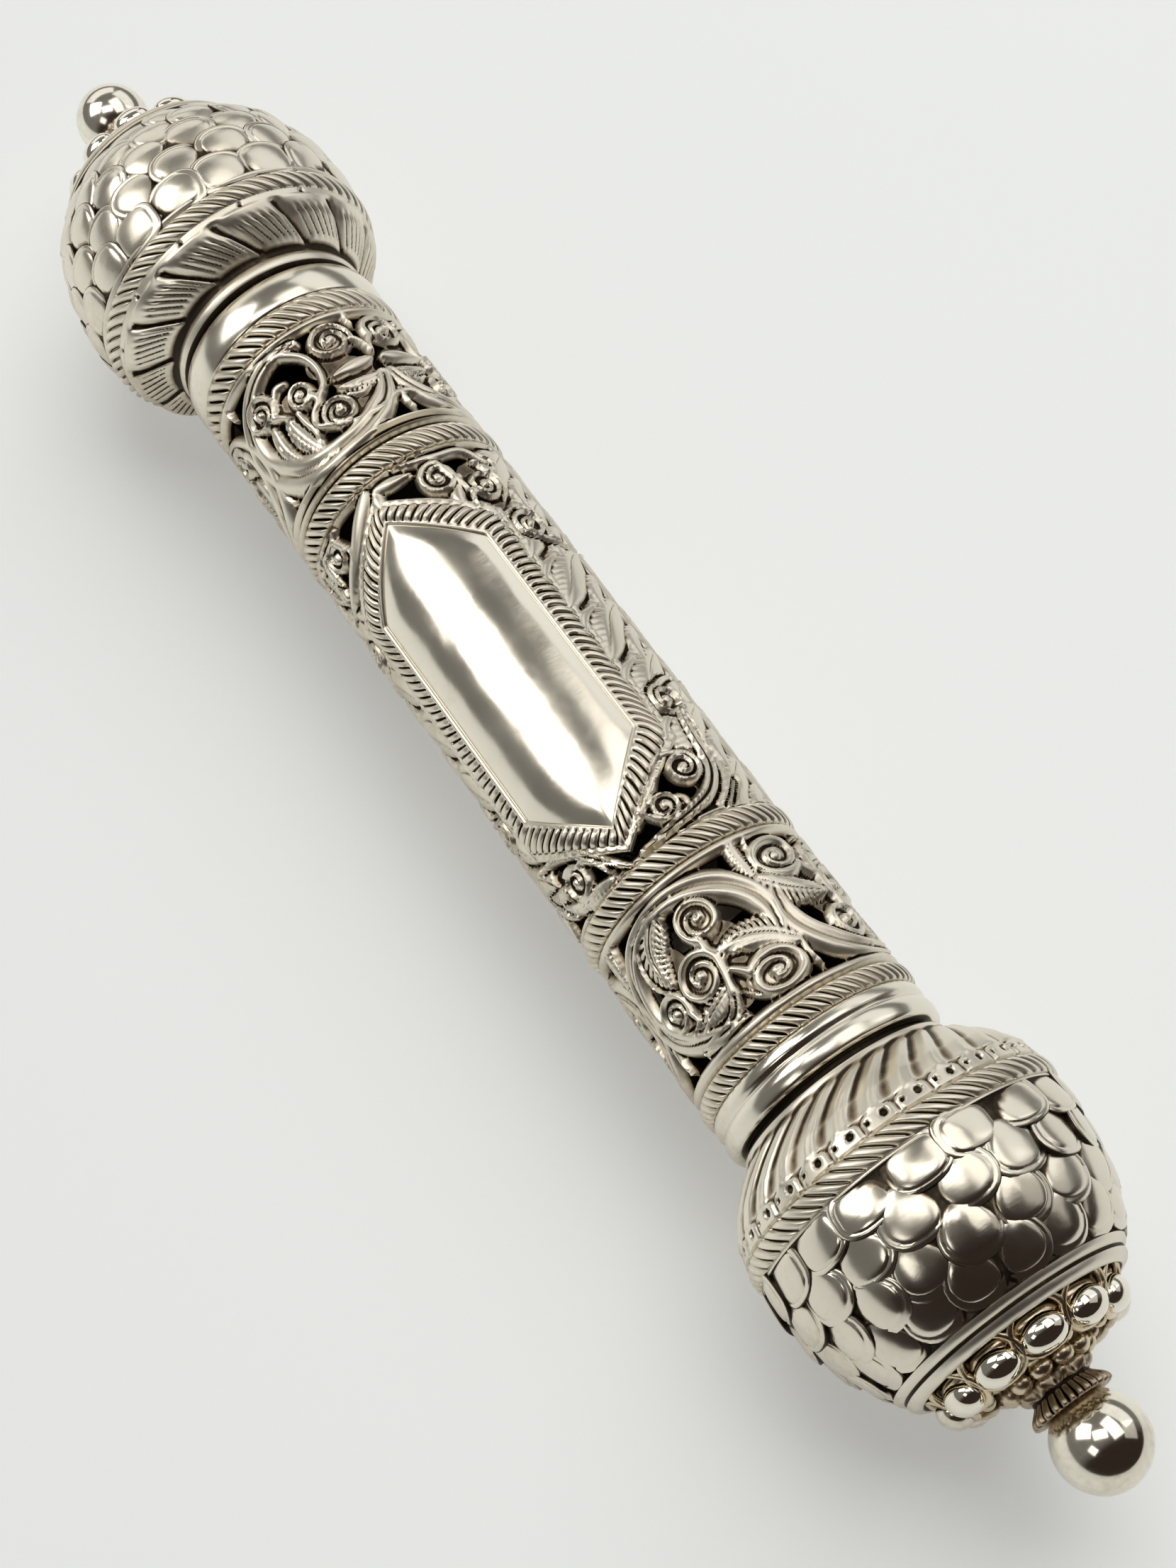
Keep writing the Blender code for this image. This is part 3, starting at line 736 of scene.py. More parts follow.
def place_cells(mesh, height, cover, u, v, keep):
    """Puts each point of an openwork shell in place, with the edges of its holes drawn smooth."""
    slope_u = np.gradient(cover, u[1, 0] - u[0, 0], axis=0)
    step_v = v[0, 1] - v[0, 0]
    slope_v = (np.roll(cover, -1, axis=1) - np.roll(cover, 1, axis=1)) / (2.0 * step_v)
    steep = np.maximum(slope_u**2 + slope_v**2, 0.25)
    beside = np.roll(keep, 1, axis=1)
    padded = np.pad(keep.astype(int) + beside.astype(int), ((1, 1), (0, 0)))
    around = padded[1:] + padded[:-1]
    rim = (around > 0) & (around < 4)
    rim[0] = rim[-1] = False
    limit = 0.55 * step_v
    push = np.clip(-cover / np.sqrt(steep), -limit, limit) * rim / np.sqrt(steep)
    u = u + slope_u * push
    v = v + slope_v * push
    index = read(mesh.attributes["cell"].data, "value", kind=np.int32)[:, 0]
    inner = index < 0
    index = np.where(inner, index + height.size, index)
    radius = np.where(inner, BORE_RADIUS, TUBE_RADIUS + height.ravel()[index])
    points = on_case(u.ravel()[index], v.ravel()[index] / DEGREE, radius)
    mesh.vertices.foreach_set("co", points.ravel().astype(np.float32))
    mesh.update()
    soft = height.copy()
    for _ in range(3):
        soft = (soft + np.roll(soft, 1, 1) + np.roll(soft, -1, 1)) / 3.0
        soft[1:-1] = (soft[1:-1] + soft[2:] + soft[:-2]) / 3.0
    # The bore is painted near black as shade; the sunk ground is darkened as tarnish.
    return np.where(inner, BORE_SHADE, 0.02 - 0.27 * soft.ravel()[index] - 0.09 * height.ravel()[index])


def flip_inside_out(mesh):
    """Turns the faces of a closed mesh outwards, whichever way they were made."""
    shape = bmesh.new()
    shape.from_mesh(mesh)
    bmesh.ops.recalc_face_normals(shape, faces=shape.faces)
    if shape.calc_volume(signed=True) < 0.0:
        bmesh.ops.reverse_faces(shape, faces=shape.faces)
    shape.to_mesh(mesh)
    shape.free()


def turned_grid(section, columns, relief=None):
    """Points of a skin turned from a closed or open section of (along, radius) points."""
    section = np.array(section, float)
    degrees = np.arange(columns) * ROUND / columns
    along, angle = np.meshgrid(section[:, 0], degrees, indexing="ij")
    radius = np.repeat(section[:, 1:], columns, axis=1)
    if relief is not None:
        radius = radius + relief(along, angle)
    return on_case(along, angle, radius)


def rope_grid(start, end, base, strands, lean, top, fine, bore, plain):
    """A rope ring: leaning round strands between two plain edges, on a smooth underside.

    fine is how many points go across a strand, and plain the share that each edge takes.
    """
    columns = strands * fine
    share = np.linspace(0.0, 1.0, ROPE_ROWS)
    along = start + (end - start) * share
    degrees = np.arange(columns) * ROUND / columns
    x, turn = np.meshgrid(along, degrees, indexing="ij")
    angle = turn + lean * (x - (start + end) / 2.0)
    s = np.repeat(share[:, None], columns, axis=1)
    swell = bump(2.0 * s - 1.0, 1.02)
    slip = 0.35 * waver(turn, x, 70.0, 7) * np.sin(np.radians(turn / 2.0))
    phase = ((turn + slip) * strands / ROUND) % 1.0
    strand = np.minimum(1.15 * bump(2.0 * phase - 1.0, 0.86), 1.0)
    cut = window(s, 0.0, plain, 1.0 - plain, 1.0)
    rise = top * swell**0.5 * (1.0 - cut * (1.0 - strand) * 1.1)
    ground = radius_at(base, along)[:, None]
    outer = on_case(x, angle, ground + rise)
    inner = on_case(np.array([[end], [start]]), angle[[-1, 0]], bore)
    return np.concatenate((outer, inner))


def hexagon_loop(long, shoulder, half, steps):
    """Points along a long hexagon, the same share of each side at each step."""
    corners = [(-long, 0.0), (-shoulder, -half), (shoulder, -half), (long, 0.0)]
    corners += [(shoulder, half), (-shoulder, half)]
    points = []
    for (a, b), (c, d), count in zip(corners, corners[1:] + corners[:1], steps):
        t = np.arange(count) / count
        points.append(np.stack((a + (c - a) * t, b + (d - b) * t), -1))
    return np.vstack(points)


def frame_grid(angle):
    """The raised border of a cartouche: a thin ridge, a rope and a plain outer band."""
    inner = hexagon_loop(PLATE_LONG, PLATE_SHOULDER, PLATE_HALF, FRAME_STEPS)
    outer = hexagon_loop(FRAME_LONG, FRAME_SHOULDER, FRAME_HALF, FRAME_STEPS)
    middle = (inner + outer) / 2.0
    step = np.roll(middle, -1, axis=0) - middle
    length = np.hypot(*step.T)
    distance = np.concatenate(([0.0], np.cumsum(length)[:-1]))
    around = length.sum()
    strands = round(around / FRAME_STRAND)
    share = np.linspace(0.0, 1.0, FRAME_ROWS)[:, None]
    slant = distance + 2.3 * (share - 0.5) * bump(share - ROPE_MIDDLE, 0.6)
    u, v = 0.0, 0.0
    for loop, part in ((inner, 1.0 - share), (outer, share)):
        u = u + part * np.interp(slant, distance, loop[:, 0], period=around)
        v = v + part * np.interp(slant, distance, loop[:, 1], period=around)
    slip = 0.18 * np.sin(distance * 0.31)
    phase = (strands * (distance + slip) / around) % 1.0
    strand = np.minimum(1.2 * bump(2.0 * phase - 1.0, 0.85), 1.0)
    ridge = 0.3 * bump(share - 0.09, 0.07)
    rope = crest((share - ROPE_MIDDLE) / 0.3, 0.35) * (0.12 + 0.5 * strand)
    border = 0.3 * window(share, 0.74, 0.8, 0.94, 1.02)
    border = border * (1.0 - 0.35 * strand * bump(share - 0.88, 0.2))
    height = 0.06 + ridge + rope + border
    degrees = angle + v / DEGREE
    top = on_case(CARTOUCHE_ALONG + u, degrees, TUBE_RADIUS + height)
    foot = on_case(CARTOUCHE_ALONG + u[[-1, 0]], degrees[[-1, 0]], TUBE_RADIUS - 0.5)
    return np.concatenate((top, foot))


def plate_grid(angle):
    """A cartouche's smooth plate, hipped at its ends and a little uneven from the hammer."""
    edge = hexagon_loop(PLATE_LONG + 0.15, PLATE_SHOULDER + 0.1, PLATE_HALF + 0.12, PLATE_STEPS)
    share = np.linspace(0.0, 1.0, PLATE_ROWS)[:, None] ** 0.8
    u, v = edge[:, 0] * share, edge[:, 1] * share
    depth = hexagon_inside(u, v, PLATE_LONG, PLATE_SHOULDER, PLATE_HALF)
    hip = 0.42 * (1.0 - np.exp(-np.maximum(depth, 0.0) / 1.3))
    uneven = 0.035 * waver(u, v, 14.0, 11) + 0.012 * waver(u, v, 4.0, 12)
    for along, across, size, deep in DENTS:
        uneven -= deep * np.exp(-((u - along) ** 2 + (v - across) ** 2) / size**2)
    height = 0.02 + hip + uneven * np.minimum(1.0, np.maximum(depth, 0.0))
    degrees = angle + v / DEGREE
    top = on_case(CARTOUCHE_ALONG + u, degrees, TUBE_RADIUS + height)
    u, v = (edge[:, axis] * np.array([[1.0], [0.5], [0.0]]) for axis in (0, 1))
    under = on_case(CARTOUCHE_ALONG + u, angle + v / DEGREE, BORE_RADIUS)
    return np.concatenate((top, under))


# --- Knobs --------------------------------------------------------------------------------------

NEAR_PROFILE = ((56.3, 11.9), (56.6, 12.1), (57.4, 12.25), (58.5, 13.4), (59.6, 14.5), (61.0, 15.7))
NEAR_PROFILE += ((62.8, 16.75), (64.6, 17.2), (66.2, 17.35), (67.5, 17.35), (69.5, 17.3), (71.5, 17.25))
NEAR_PROFILE += ((75.1, 16.75), (78.7, 15.5), (81.7, 13.9), (83.1, 12.9))
FAR_PROFILE = ((56.2, 11.7), (56.6, 12.1), (57.2, 12.25), (57.9, 12.05), (58.4, 12.1), (58.9, 12.7))
FAR_PROFILE += ((60.5, 15.0), (62.2, 16.4), (64.0, 16.9), (65.6, 17.2), (68.0, 17.35), (71.0, 17.3))
FAR_PROFILE += ((75.0, 16.9), (78.5, 15.9), (81.0, 14.4), (83.1, 12.6))
SKIN_END = 82.5
END_RING = ((82.6, 0.1), (82.85, 0.45), (83.2, 0.52), (83.5, 0.42), (83.65, 0.05), (83.85, 0.05))
END_RING += ((84.0, 0.4), (84.35, 0.5), (84.7, 0.4))
RECESS_EDGE = (84.9, 11.9)
RECESS = ((84.95, 11.9), (84.9, 11.5), (84.2, 11.1))
RECESS += ((RECESS_FLOOR, 10.8), (RECESS_FLOOR, 5.0), (RECESS_FLOOR, 0.0))
KNOB_INSIDE = ((RECESS_FLOOR - KNOB_WALL, 0.0), (RECESS_FLOOR - KNOB_WALL, 11.0), (78.0, 14.2))
KNOB_INSIDE += ((71.0, 16.0), (65.0, 15.6), (60.5, 13.4), (57.6, SLEEVE_RADIUS - KNOB_WALL))
KNOB_INSIDE += ((SLEEVE_END, SLEEVE_RADIUS - KNOB_WALL), (SLEEVE_END, SLEEVE_RADIUS))

# The carving of the knobs: places along the case and heights in millimetres, twists in degrees.
# The four places of ENDS are where it starts, is full, starts to fade and is gone.
FLUTES = 28
FLUTE_FIRST = -5.5
FLUTE_SPAN = (57.1, 5.8)  # where the flutes start, and their length
FLUTE_ENDS = (57.0, 57.9, 62.7, 63.1)
FLUTE_TWIST = 21.0
FLUTE_HEIGHT = 0.62
LOBE_START = 62.75
LOBE_ENDS = (62.6, 62.85, 64.8, 65.0)
HOLES = ((0.35, 0.5), (0.82, 0.3))  # share of a flute, and radius
HOLES_ALONG = 63.85
NEAR_RIDGE = 67.5
LEAVES = 13
LEAF_FIRST = -11.0
LEAF_SPAN = (58.8, 3.6)
LEAF_ENDS = (58.5, 59.0, 62.1, 62.3)
LEAF_TWIST = 15.0
LEAF_HEIGHT = 0.8
LEAF_CUTS = 7.5
DOTTED_ENDS = (62.1, 62.3, 63.0, 63.1)
DOTS_ALONG = 62.6
FAR_RIDGE = 65.9
FAR_GROOVE = 66.5


def near_relief(along, degrees):
    """The near knob: twisted flutes, drilled lobes under the rope, and a thin ridge."""
    pitch = ROUND / FLUTES
    t = np.clip((along - FLUTE_SPAN[0]) / FLUTE_SPAN[1], 0.0, 1.0)
    turn = degrees + FLUTE_TWIST * (1.0 - t) ** 1.8 + FLUTE_FIRST
    p = (turn / pitch) % 1.0
    flute = FLUTE_HEIGHT * (0.5 - 0.5 * np.cos(FULL_TURN * p)) ** 0.95
    flute += 0.08 * np.exp(-((p - 0.26) / 0.07) ** 2) - 0.08 * np.exp(-((p - 0.4) / 0.07) ** 2)
    rise = window(along, *FLUTE_ENDS) * flute
    lobe = window(along, *LOBE_ENDS)
    q = np.abs(2.0 * p - 1.0)
    inside = smoothstep(0.0, 0.3, along - LOBE_START - 0.75 * q**2.5)
    rise += lobe * (0.08 + 0.4 * inside * (1.0 - 0.8 * smoothstep(0.75, 1.0, q)))
    for share, size in HOLES:
        reach = np.hypot((p - share) * pitch * 0.3, along - HOLES_ALONG)
        rise -= lobe * 0.6 * smoothstep(size, 0.5 * size, reach)
    return rise + 0.28 * bump(along - NEAR_RIDGE, 0.3)


def far_relief(along, degrees):
    """The far knob: a ring of broad hatched leaves, a dotted border and a thin ridge."""
    pitch = ROUND / LEAVES
    t = np.clip((along - LEAF_SPAN[0]) / LEAF_SPAN[1], 0.0, 1.0)
    turn = degrees + LEAF_TWIST * (1.0 - t) ** 1.6 + LEAF_FIRST
    p = (turn / pitch) % 1.0
    panel = LEAF_HEIGHT * (1.0 - np.abs(2.0 * p - 1.0) ** 2.6) * (0.5 + 0.5 * np.sin(math.pi * t) ** 0.7)
    panel -= 0.6 * np.exp(-(((p + 0.5) % 1.0 - 0.5) / 0.06) ** 2)
    curve = 5.5 * (p - 0.5) ** 2
    cuts = np.cos(FULL_TURN * (p * LEAF_CUTS + curve * (t - 0.4)))
    inside = window(p, 0.06, 0.16, 0.86, 0.99) * window(t, 0.0, 0.15, 0.5, 0.75)
    panel -= 0.34 * (0.5 + 0.5 * cuts) ** 1.5 * inside
    reach = np.hypot((p - 0.5) * pitch * 0.28, along - DOTS_ALONG)
    rise = window(along, *LEAF_ENDS) * panel
    rise += window(along, *DOTTED_ENDS) * (0.3 - 0.4 * smoothstep(0.35, 0.15, reach))
    return rise + 0.3 * bump(along - FAR_RIDGE, 0.32) - 0.25 * bump(along - FAR_GROOVE, 0.3)


def knob_grid(profile, relief, side, carved):
    """A hollow knob with its sleeve, its double end ring and its recess."""
    low = profile[0][0]
    carved_part = np.linspace(low, carved, round((carved - low) / CARVED_CELL))
    along = np.concatenate((carved_part, np.linspace(carved, SKIN_END, 9)[1:]))
    radius = radius_at(profile, along)
    skin = np.stack((along, radius), -1)
    x, rise = np.array(END_RING).T
    ring = np.stack((x, radius_at(((SKIN_END, radius[-1]), RECESS_EDGE), x) + rise), -1)
    shell = (*KNOB_INSIDE, (low, SLEEVE_RADIUS))
    section = np.vstack((shell, skin, ring, RECESS))

    def carving(x, degrees):
        rise = np.zeros_like(x)
        first = len(shell)
        last = first + len(skin)
        rise[first:last] = relief(x[first:last], degrees[first:last])
        return rise

    return on_side(turned_grid(section, KNOB_COLUMNS, carving), side)


# Over a scale, from its middle to its edge: the share of the way out, and the height there.
SCALE_RINGS = (0.0, 0.33, 0.57, 0.7, 0.78, 0.83, 0.9, 1.0)
SCALE_DOME = (0.34, 0.315, 0.25, 0.19, 0.11, 0.0, 0.07, -0.02)
SCALE_COLUMNS = 26
SCALE_FRONT = 0.42  # share of a scale's length that lies before its widest place
SCALE_DIP = 0.16  # how far its pointed end goes under the row before it
SCALE_LIFT = 0.5  # how far a scale's free end stands up from the knob
SCALE_WALL = 0.18  # how far the wall under a scale's edge spreads
WALL_FACING = (0.86, 0.66)  # painted shade: a scale darkens as its surface turns from facing out to facing aside
DIP_HEIGHTS = (0.24, 0.06)  # and as it sinks to the knob
WALL_SHADE = 0.36  # how dark that painted shade goes, at most
BED_SHADE = 0.3  # how dark a knob is painted under its scales: painted shade
KNOB_REACH = 18.05  # nothing on a knob stands further from the axis

# How unevenly the scales are set: round the knob in degrees, along it, and tilted aside and ahead.
SCALE_TURN = 0.5
SCALE_SLIP = 0.12
SCALE_TILT = 0.85
SCALE_TIP = 0.5


def scale_grid(tip, degrees, length, width, point, tilts, profile, side):
    """One scale: a nearly flat polished dome inside a thin flange, its round end free.

    tilts are how much one side and the free end are bent up.
    """
    theta = np.arange(SCALE_COLUMNS) * FULL_TURN / SCALE_COLUMNS
    rings, dome = np.array(SCALE_RINGS), np.array(SCALE_DOME)
    a, b = np.cos(theta), np.sin(theta)
    front = a > 0
    widest = tip - SCALE_FRONT * length
    square = np.where(front | (point > 0.0), 1.0, 0.55)
    half = np.where(front, SCALE_FRONT, 1.0 - SCALE_FRONT) * length
    reach_a = half * np.sign(a) * np.abs(a) ** (0.95 * square)
    narrow = np.where(front, 1.0, 1.0 - point * np.abs(a) ** 1.3)
    reach_b = 0.5 * width * np.sign(b) * np.abs(b) ** (0.85 * square) * narrow
    x = widest + rings[:, None] * reach_a
    across = rings[:, None] * reach_b
    base = radius_at(profile, x)
    dip = SCALE_DIP if point > 0.0 else 0.0
    height = (SCALE_LIFT + dip) * (x - tip + length) / length - dip + dome[:, None]
    height += tilts[0] * across / width + tilts[1] * (x - widest) / length
    angle = degrees + np.degrees(across / base)
    top = on_case(x, angle, np.minimum(base + height, KNOB_REACH))
    edge, edge_base = x[-1] + SCALE_WALL * a, base[-1]
    edge_angle = angle[-1] + np.degrees(SCALE_WALL * b / edge_base)
    under = np.minimum(edge_base + height[-1] - 0.12, KNOB_REACH)
    skirt_x = np.stack((edge, edge, edge * 0 + widest))
    skirt_angle = np.stack((edge_angle, edge_angle, edge_angle * 0 + degrees))
    skirt = on_case(skirt_x, skirt_angle, np.stack((under, edge_base - 0.6, edge_base - 0.6)))
    return on_side(np.concatenate((top, skirt)), side)


# Rows of scales: where the free end lies, the angle of one scale, length, fill and how pointed the
# hidden end is.
NEAR_ROWS = (
    (71.8, 11.5, 4.9, 1.1, 0.0),
    (75.7, 2.3, 6.5, 1.12, 0.42),
    (79.6, 10.0, 6.5, 1.12, 0.42),
    (82.7, 18.0, 5.8, 1.12, 0.4),
)
FAR_ROWS = (
    (70.3, 15.5, 5.2, 1.09, 0.0),
    (73.9, 6.5, 5.9, 1.12, 0.45),
    (77.5, 16.0, 5.9, 1.12, 0.45),
    (80.6, 7.0, 5.7, 1.12, 0.45),
    (82.7, 16.0, 4.6, 1.1, 0.4),
)

# Each knob's name, side, profile, relief, rows of scales, where its carving ends, its rope's place,
# strands and lean, and how its scales are finished.
KNOBS = (
    ("near", 1, NEAR_PROFILE, near_relief, NEAR_ROWS, 67.9, (65.0, 67.3), 61, -4.6, "scale_silver_looks"),
    ("far", -1, FAR_PROFILE, far_relief, FAR_ROWS, 66.8, (63.0, 65.2), 60, 4.6, "far_scale_silver_looks"),
)


def scale_skins(rows, profile, side):
    """All the scales of a knob, in staggered rows with a little unevenness."""
    luck = np.random.default_rng(31 + side)
    skins = []
    for tip, first, length, fill, point in rows:
        radius = radius_at(profile, tip - length / 3.0)
        width = fill * (radius + SCALE_LIFT) * math.radians(SCALE_PITCH)
        for index in range(SCALES_AROUND):
            turn, slip, aside, ahead = luck.uniform(-1.0, 1.0, 4)
            degrees = first + index * SCALE_PITCH + SCALE_TURN * turn
            tilts = (SCALE_TILT * math.copysign(abs(aside) ** 0.6, aside), SCALE_TIP * ahead)
            end = tip + SCALE_SLIP * slip
            grid = scale_grid(end, degrees, length, width, point, tilts, profile, side)
            skins.append((grid, "poles"))
    return skins


def shade_under_scales(made, profile):
    """Stores painted shade where each scale dips under the row before it, and on the wall of its edge."""
    points = read(made.data.vertices, "co", 3).astype(float) / MM - (0.0, 0.0, AXIS_HEIGHT)
    normals = read(made.data.vertex_normals, "vector", 3)
    along, radius = np.abs(points[:, 0]), np.hypot(points[:, 1], points[:, 2])
    slope = radius_at(profile, along + 0.5) - radius_at(profile, along - 0.5)
    facing = (normals[:, 1:] * points[:, 1:]).sum(1) / radius - slope * np.sign(points[:, 0]) * normals[:, 0]
    # Painted shade: walls that face aside and places that sink under the row before are darkened.
    wall = smoothstep(*WALL_FACING, facing / np.hypot(1.0, slope))
    dipped = smoothstep(*DIP_HEIGHTS, radius - radius_at(profile, along))
    depth = WALL_SHADE * np.maximum(dipped, wall)
    store(made.data, "hollow_broad", depth)


def shade_bed(made, start):
    """Stores deep painted shade on a knob's body where scales cover it."""
    along = np.abs(read(made.data.vertices, "co", 3)[:, 0].astype(float)) / MM
    values = read(made.data.attributes["hollow_broad"].data, "value")[:, 0]
    values[(along > start) & (along < SKIN_END)] = BED_SHADE
    store(made.data, "hollow_broad", values)


# --- Crowns, collars and balls ------------------------------------------------------------------

# Sections are (along, radius) points. A seat is where a part sits, and its lean is in degrees.
CUP = [(83.9, 0.0), (83.9, 9.5), (84.6, 10.1), (85.6, 10.2), (86.2, 9.5), (86.6, 8.4), (87.0, 6.8)]
CUP += [(87.4, 5.4), (88.0, 4.2), (88.8, 3.2), (89.6, 2.6), (89.6, 0.0)]
GRANULES = 11
GRANULE_FIRST = 6.0
GRANULE_SEAT = (86.9, 9.5)
GRANULE_LEAN = 38.0
GRANULE_SIZES = (2.45, 1.85, 1.5)
PETAL_SEAT = (86.3, 9.9)
PETAL_LEAN = 32.0
PETAL_WIDE, PETAL_TALL, PETAL_SINK = 2.95, 2.7, 0.35
PETAL_POINTS = 30
WIRE_RADIUS = 0.42
WIRE_SIDES = 8
NUGGETS = ((87.5, 6.7, 0.95), (88.6, 4.4, 1.1))
NUGGET_LEAN = 60.0
RUFFLE = [(88.8, 2.5), (88.9, 3.3), (89.6, 3.8), (90.3, 3.6), (90.7, 3.25), (91.1, 3.5), (91.8, 4.1)]
RUFFLE += [(92.4, 4.3), (92.65, 3.9), (92.5, 2.5)]
RUFFLE_KNOTS = 9
RUFFLE_TEETH = 13
STEM_RADIUS = 2.1
STEM_START, STEM_END = 89.4, 92.0


def crown_grid(side):
    """A scalloped cup that stands in the recess at the end of a knob."""
    section = np.vstack((CUP[:1], smooth_path(CUP[1:-1], 4), CUP[-1:]))

    def scallops(along, degrees):
        swing = np.abs(np.cos(np.radians(degrees - GRANULE_FIRST) * GRANULES / 2.0))
        rows = np.arange(len(along))[:, None]
        return 0.9 * (swing**0.7 - 0.7) * window(rows, 2.0, 8.0, 20.0, 30.0)

    return on_side(turned_grid(section, 99, scallops), side)


def orb_grid(centre, frame_axes, sizes, rows=13, columns=20):
    """An egg-shaped bead: centre in metres, three axes, and half sizes in millimetres."""
    polar = np.linspace(0.0, math.pi, rows)[:, None]
    angle = np.arange(columns) * FULL_TURN / columns
    local = (np.sin(polar) * np.cos(angle), np.sin(polar) * np.sin(angle), np.cos(polar))
    local = np.stack(np.broadcast_arrays(*local), -1)
    return np.array(centre) + (local * np.array(sizes)) @ np.array(frame_axes) * MM


def case_axes(degrees, lean):
    """Axes at an angle round the case: along the rim, up the lean, and out."""
    turn, tip = math.radians(degrees), math.radians(lean)
    round_axis = (0.0, -math.cos(turn), -math.sin(turn))
    out = np.array((0.0, -math.sin(turn), math.cos(turn)))
    along = np.array((1.0, 0.0, 0.0))
    up = along * math.cos(tip) - out * math.sin(tip)
    away = along * math.sin(tip) + out * math.cos(tip)
    return np.array(round_axis), up, away


def wire_grid(path):
    """A round wire along a closed loop of points in metres."""
    ahead = np.roll(path, -1, axis=0) - np.roll(path, 1, axis=0)
    ahead /= np.linalg.norm(ahead, axis=1)[:, None]
    middle = path.mean(0)
    out = path - middle
    out -= (out * ahead).sum(1)[:, None] * ahead
    out /= np.linalg.norm(out, axis=1)[:, None]
    up = np.cross(ahead, out)
    turn = np.arange(WIRE_SIDES) * FULL_TURN / WIRE_SIDES
    ring = out[None] * np.cos(turn)[:, None, None] + up[None] * np.sin(turn)[:, None, None]
    return path[None] + ring * WIRE_RADIUS * MM


def petal_loop(degrees):
    """A closed loop of points round a granule, on the slope of the crown."""
    turn = np.arange(PETAL_POINTS) * FULL_TURN / PETAL_POINTS
    across = PETAL_WIDE * np.sign(np.cos(turn)) * np.abs(np.cos(turn)) ** 0.8
    up = PETAL_TALL * np.sin(turn)
    loop = np.stack((across, up, -PETAL_SINK - 0.12 * up), -1)
    return seat_point(PETAL_SEAT, degrees) + loop @ np.array(case_axes(degrees, PETAL_LEAN)) * MM


def seat_point(seat, degrees):
    """The point in metres at a seat of (along, radius), at an angle round the case."""
    return on_case(seat[0], degrees, seat[1])


def crown_skins(side):
    """The cup, the petals' double outlines and the nuggets round the stem."""
    skins = [(crown_grid(side), "poles")]
    for index in range(GRANULES):
        degrees = GRANULE_FIRST + index * ROUND / GRANULES
        skins.append((on_side(wire_grid(petal_loop(degrees)), side), "loop"))
        between = degrees + ROUND / GRANULES / 2.0
        for *seat, size in NUGGETS:
            axes = case_axes(between, NUGGET_LEAN)
            sizes = (size * 1.15, size, size * 0.9)
            nugget = orb_grid(seat_point(seat, between), axes, sizes, 9, 12)
            skins.append((on_side(nugget, side), "poles"))
    return skins


def granule_skins(side):
    """The polished egg-shaped granules of a crown."""
    skins = []
    for index in range(GRANULES):
        degrees = GRANULE_FIRST + index * ROUND / GRANULES
        seat = seat_point(GRANULE_SEAT, degrees)
        granule = orb_grid(seat, case_axes(degrees, GRANULE_LEAN), GRANULE_SIZES)
        skins.append((on_side(granule, side), "poles"))
    return skins


def collar_grid(side):
    """The ruffled ring under a ball: a row of knots and a toothed skirt."""

    def ruffles(along, degrees):
        turn = np.radians(degrees)
        knots = np.cos(turn * RUFFLE_KNOTS + 0.5 * np.sin(2.0 * turn))
        knots = 0.42 * knots * bump(along - 89.6, 0.9)
        teeth = np.abs(np.cos(turn * RUFFLE_TEETH + 0.7 * np.sin(3.0 * turn))) ** 0.6
        uneven = 1.0 + 0.3 * np.sin(5.0 * turn + 1.0) * np.sin(8.0 * turn)
        skirt = 0.75 * (teeth - 0.75) * uneven * smoothstep(90.6, 92.0, along)
        rows = np.arange(len(along))[:, None]
        last = len(along) - 1.0
        return (knots + skirt) * window(rows, 1.0, 5.0, last - 3.0, last)

    return on_side(turned_grid(smooth_path(RUFFLE, 4), 192, ruffles), side)


def ball_grid(side, radius):
    """A polished ball on its short stem."""
    middle = CASE_END - radius
    turn = np.linspace(math.asin(STEM_RADIUS / radius), math.pi, 40)
    section = [(STEM_START, 0.0), (STEM_START, STEM_RADIUS), (STEM_END, STEM_RADIUS)]
    section += [(middle - radius * math.cos(a), radius * math.sin(a)) for a in turn[:-1]]
    section += [(middle + radius, 0.0)]
    return on_side(turned_grid(section, 72), side)


# --- Metals -------------------------------------------------------------------------------------

# How fine each pattern on the silver is, in waves a metre, and depths and heights in metres.
CLOUDS = 170.0
SPECKS = 1500.0
SMUDGES = 90.0
HAMMERING = 260.0
HAMMER_DEPTH = 0.00012
SCRATCHES = 900.0
SCRATCH_DEPTH = 0.00003
LOW_SIDE_SHADE = (0.010, 0.030)  # silver is darkened below the first height, and less so up to the second: painted shade

# How hollow a place counts is a mix of all these, which hold both tarnish and painted shade. From the first
# number to the second, the fine hollows grow, silver turns toned, toned silver turns black, and polish turns
# dull.
FINE_HOLLOW = (0.005, 0.09)
TONED_HOLLOW = (0.05, 0.6)
BLACK_HOLLOW = (0.5, 1.05)
DULL_HOLLOW = (0.1, 0.9)
BROAD_START = -0.02
CLOUD_STRENGTH = 0.5
SPECK_STRENGTH = 0.25
LOW_SIDE_DEPTH = 0.36
SMUDGE_ROUGHNESS = 0.1


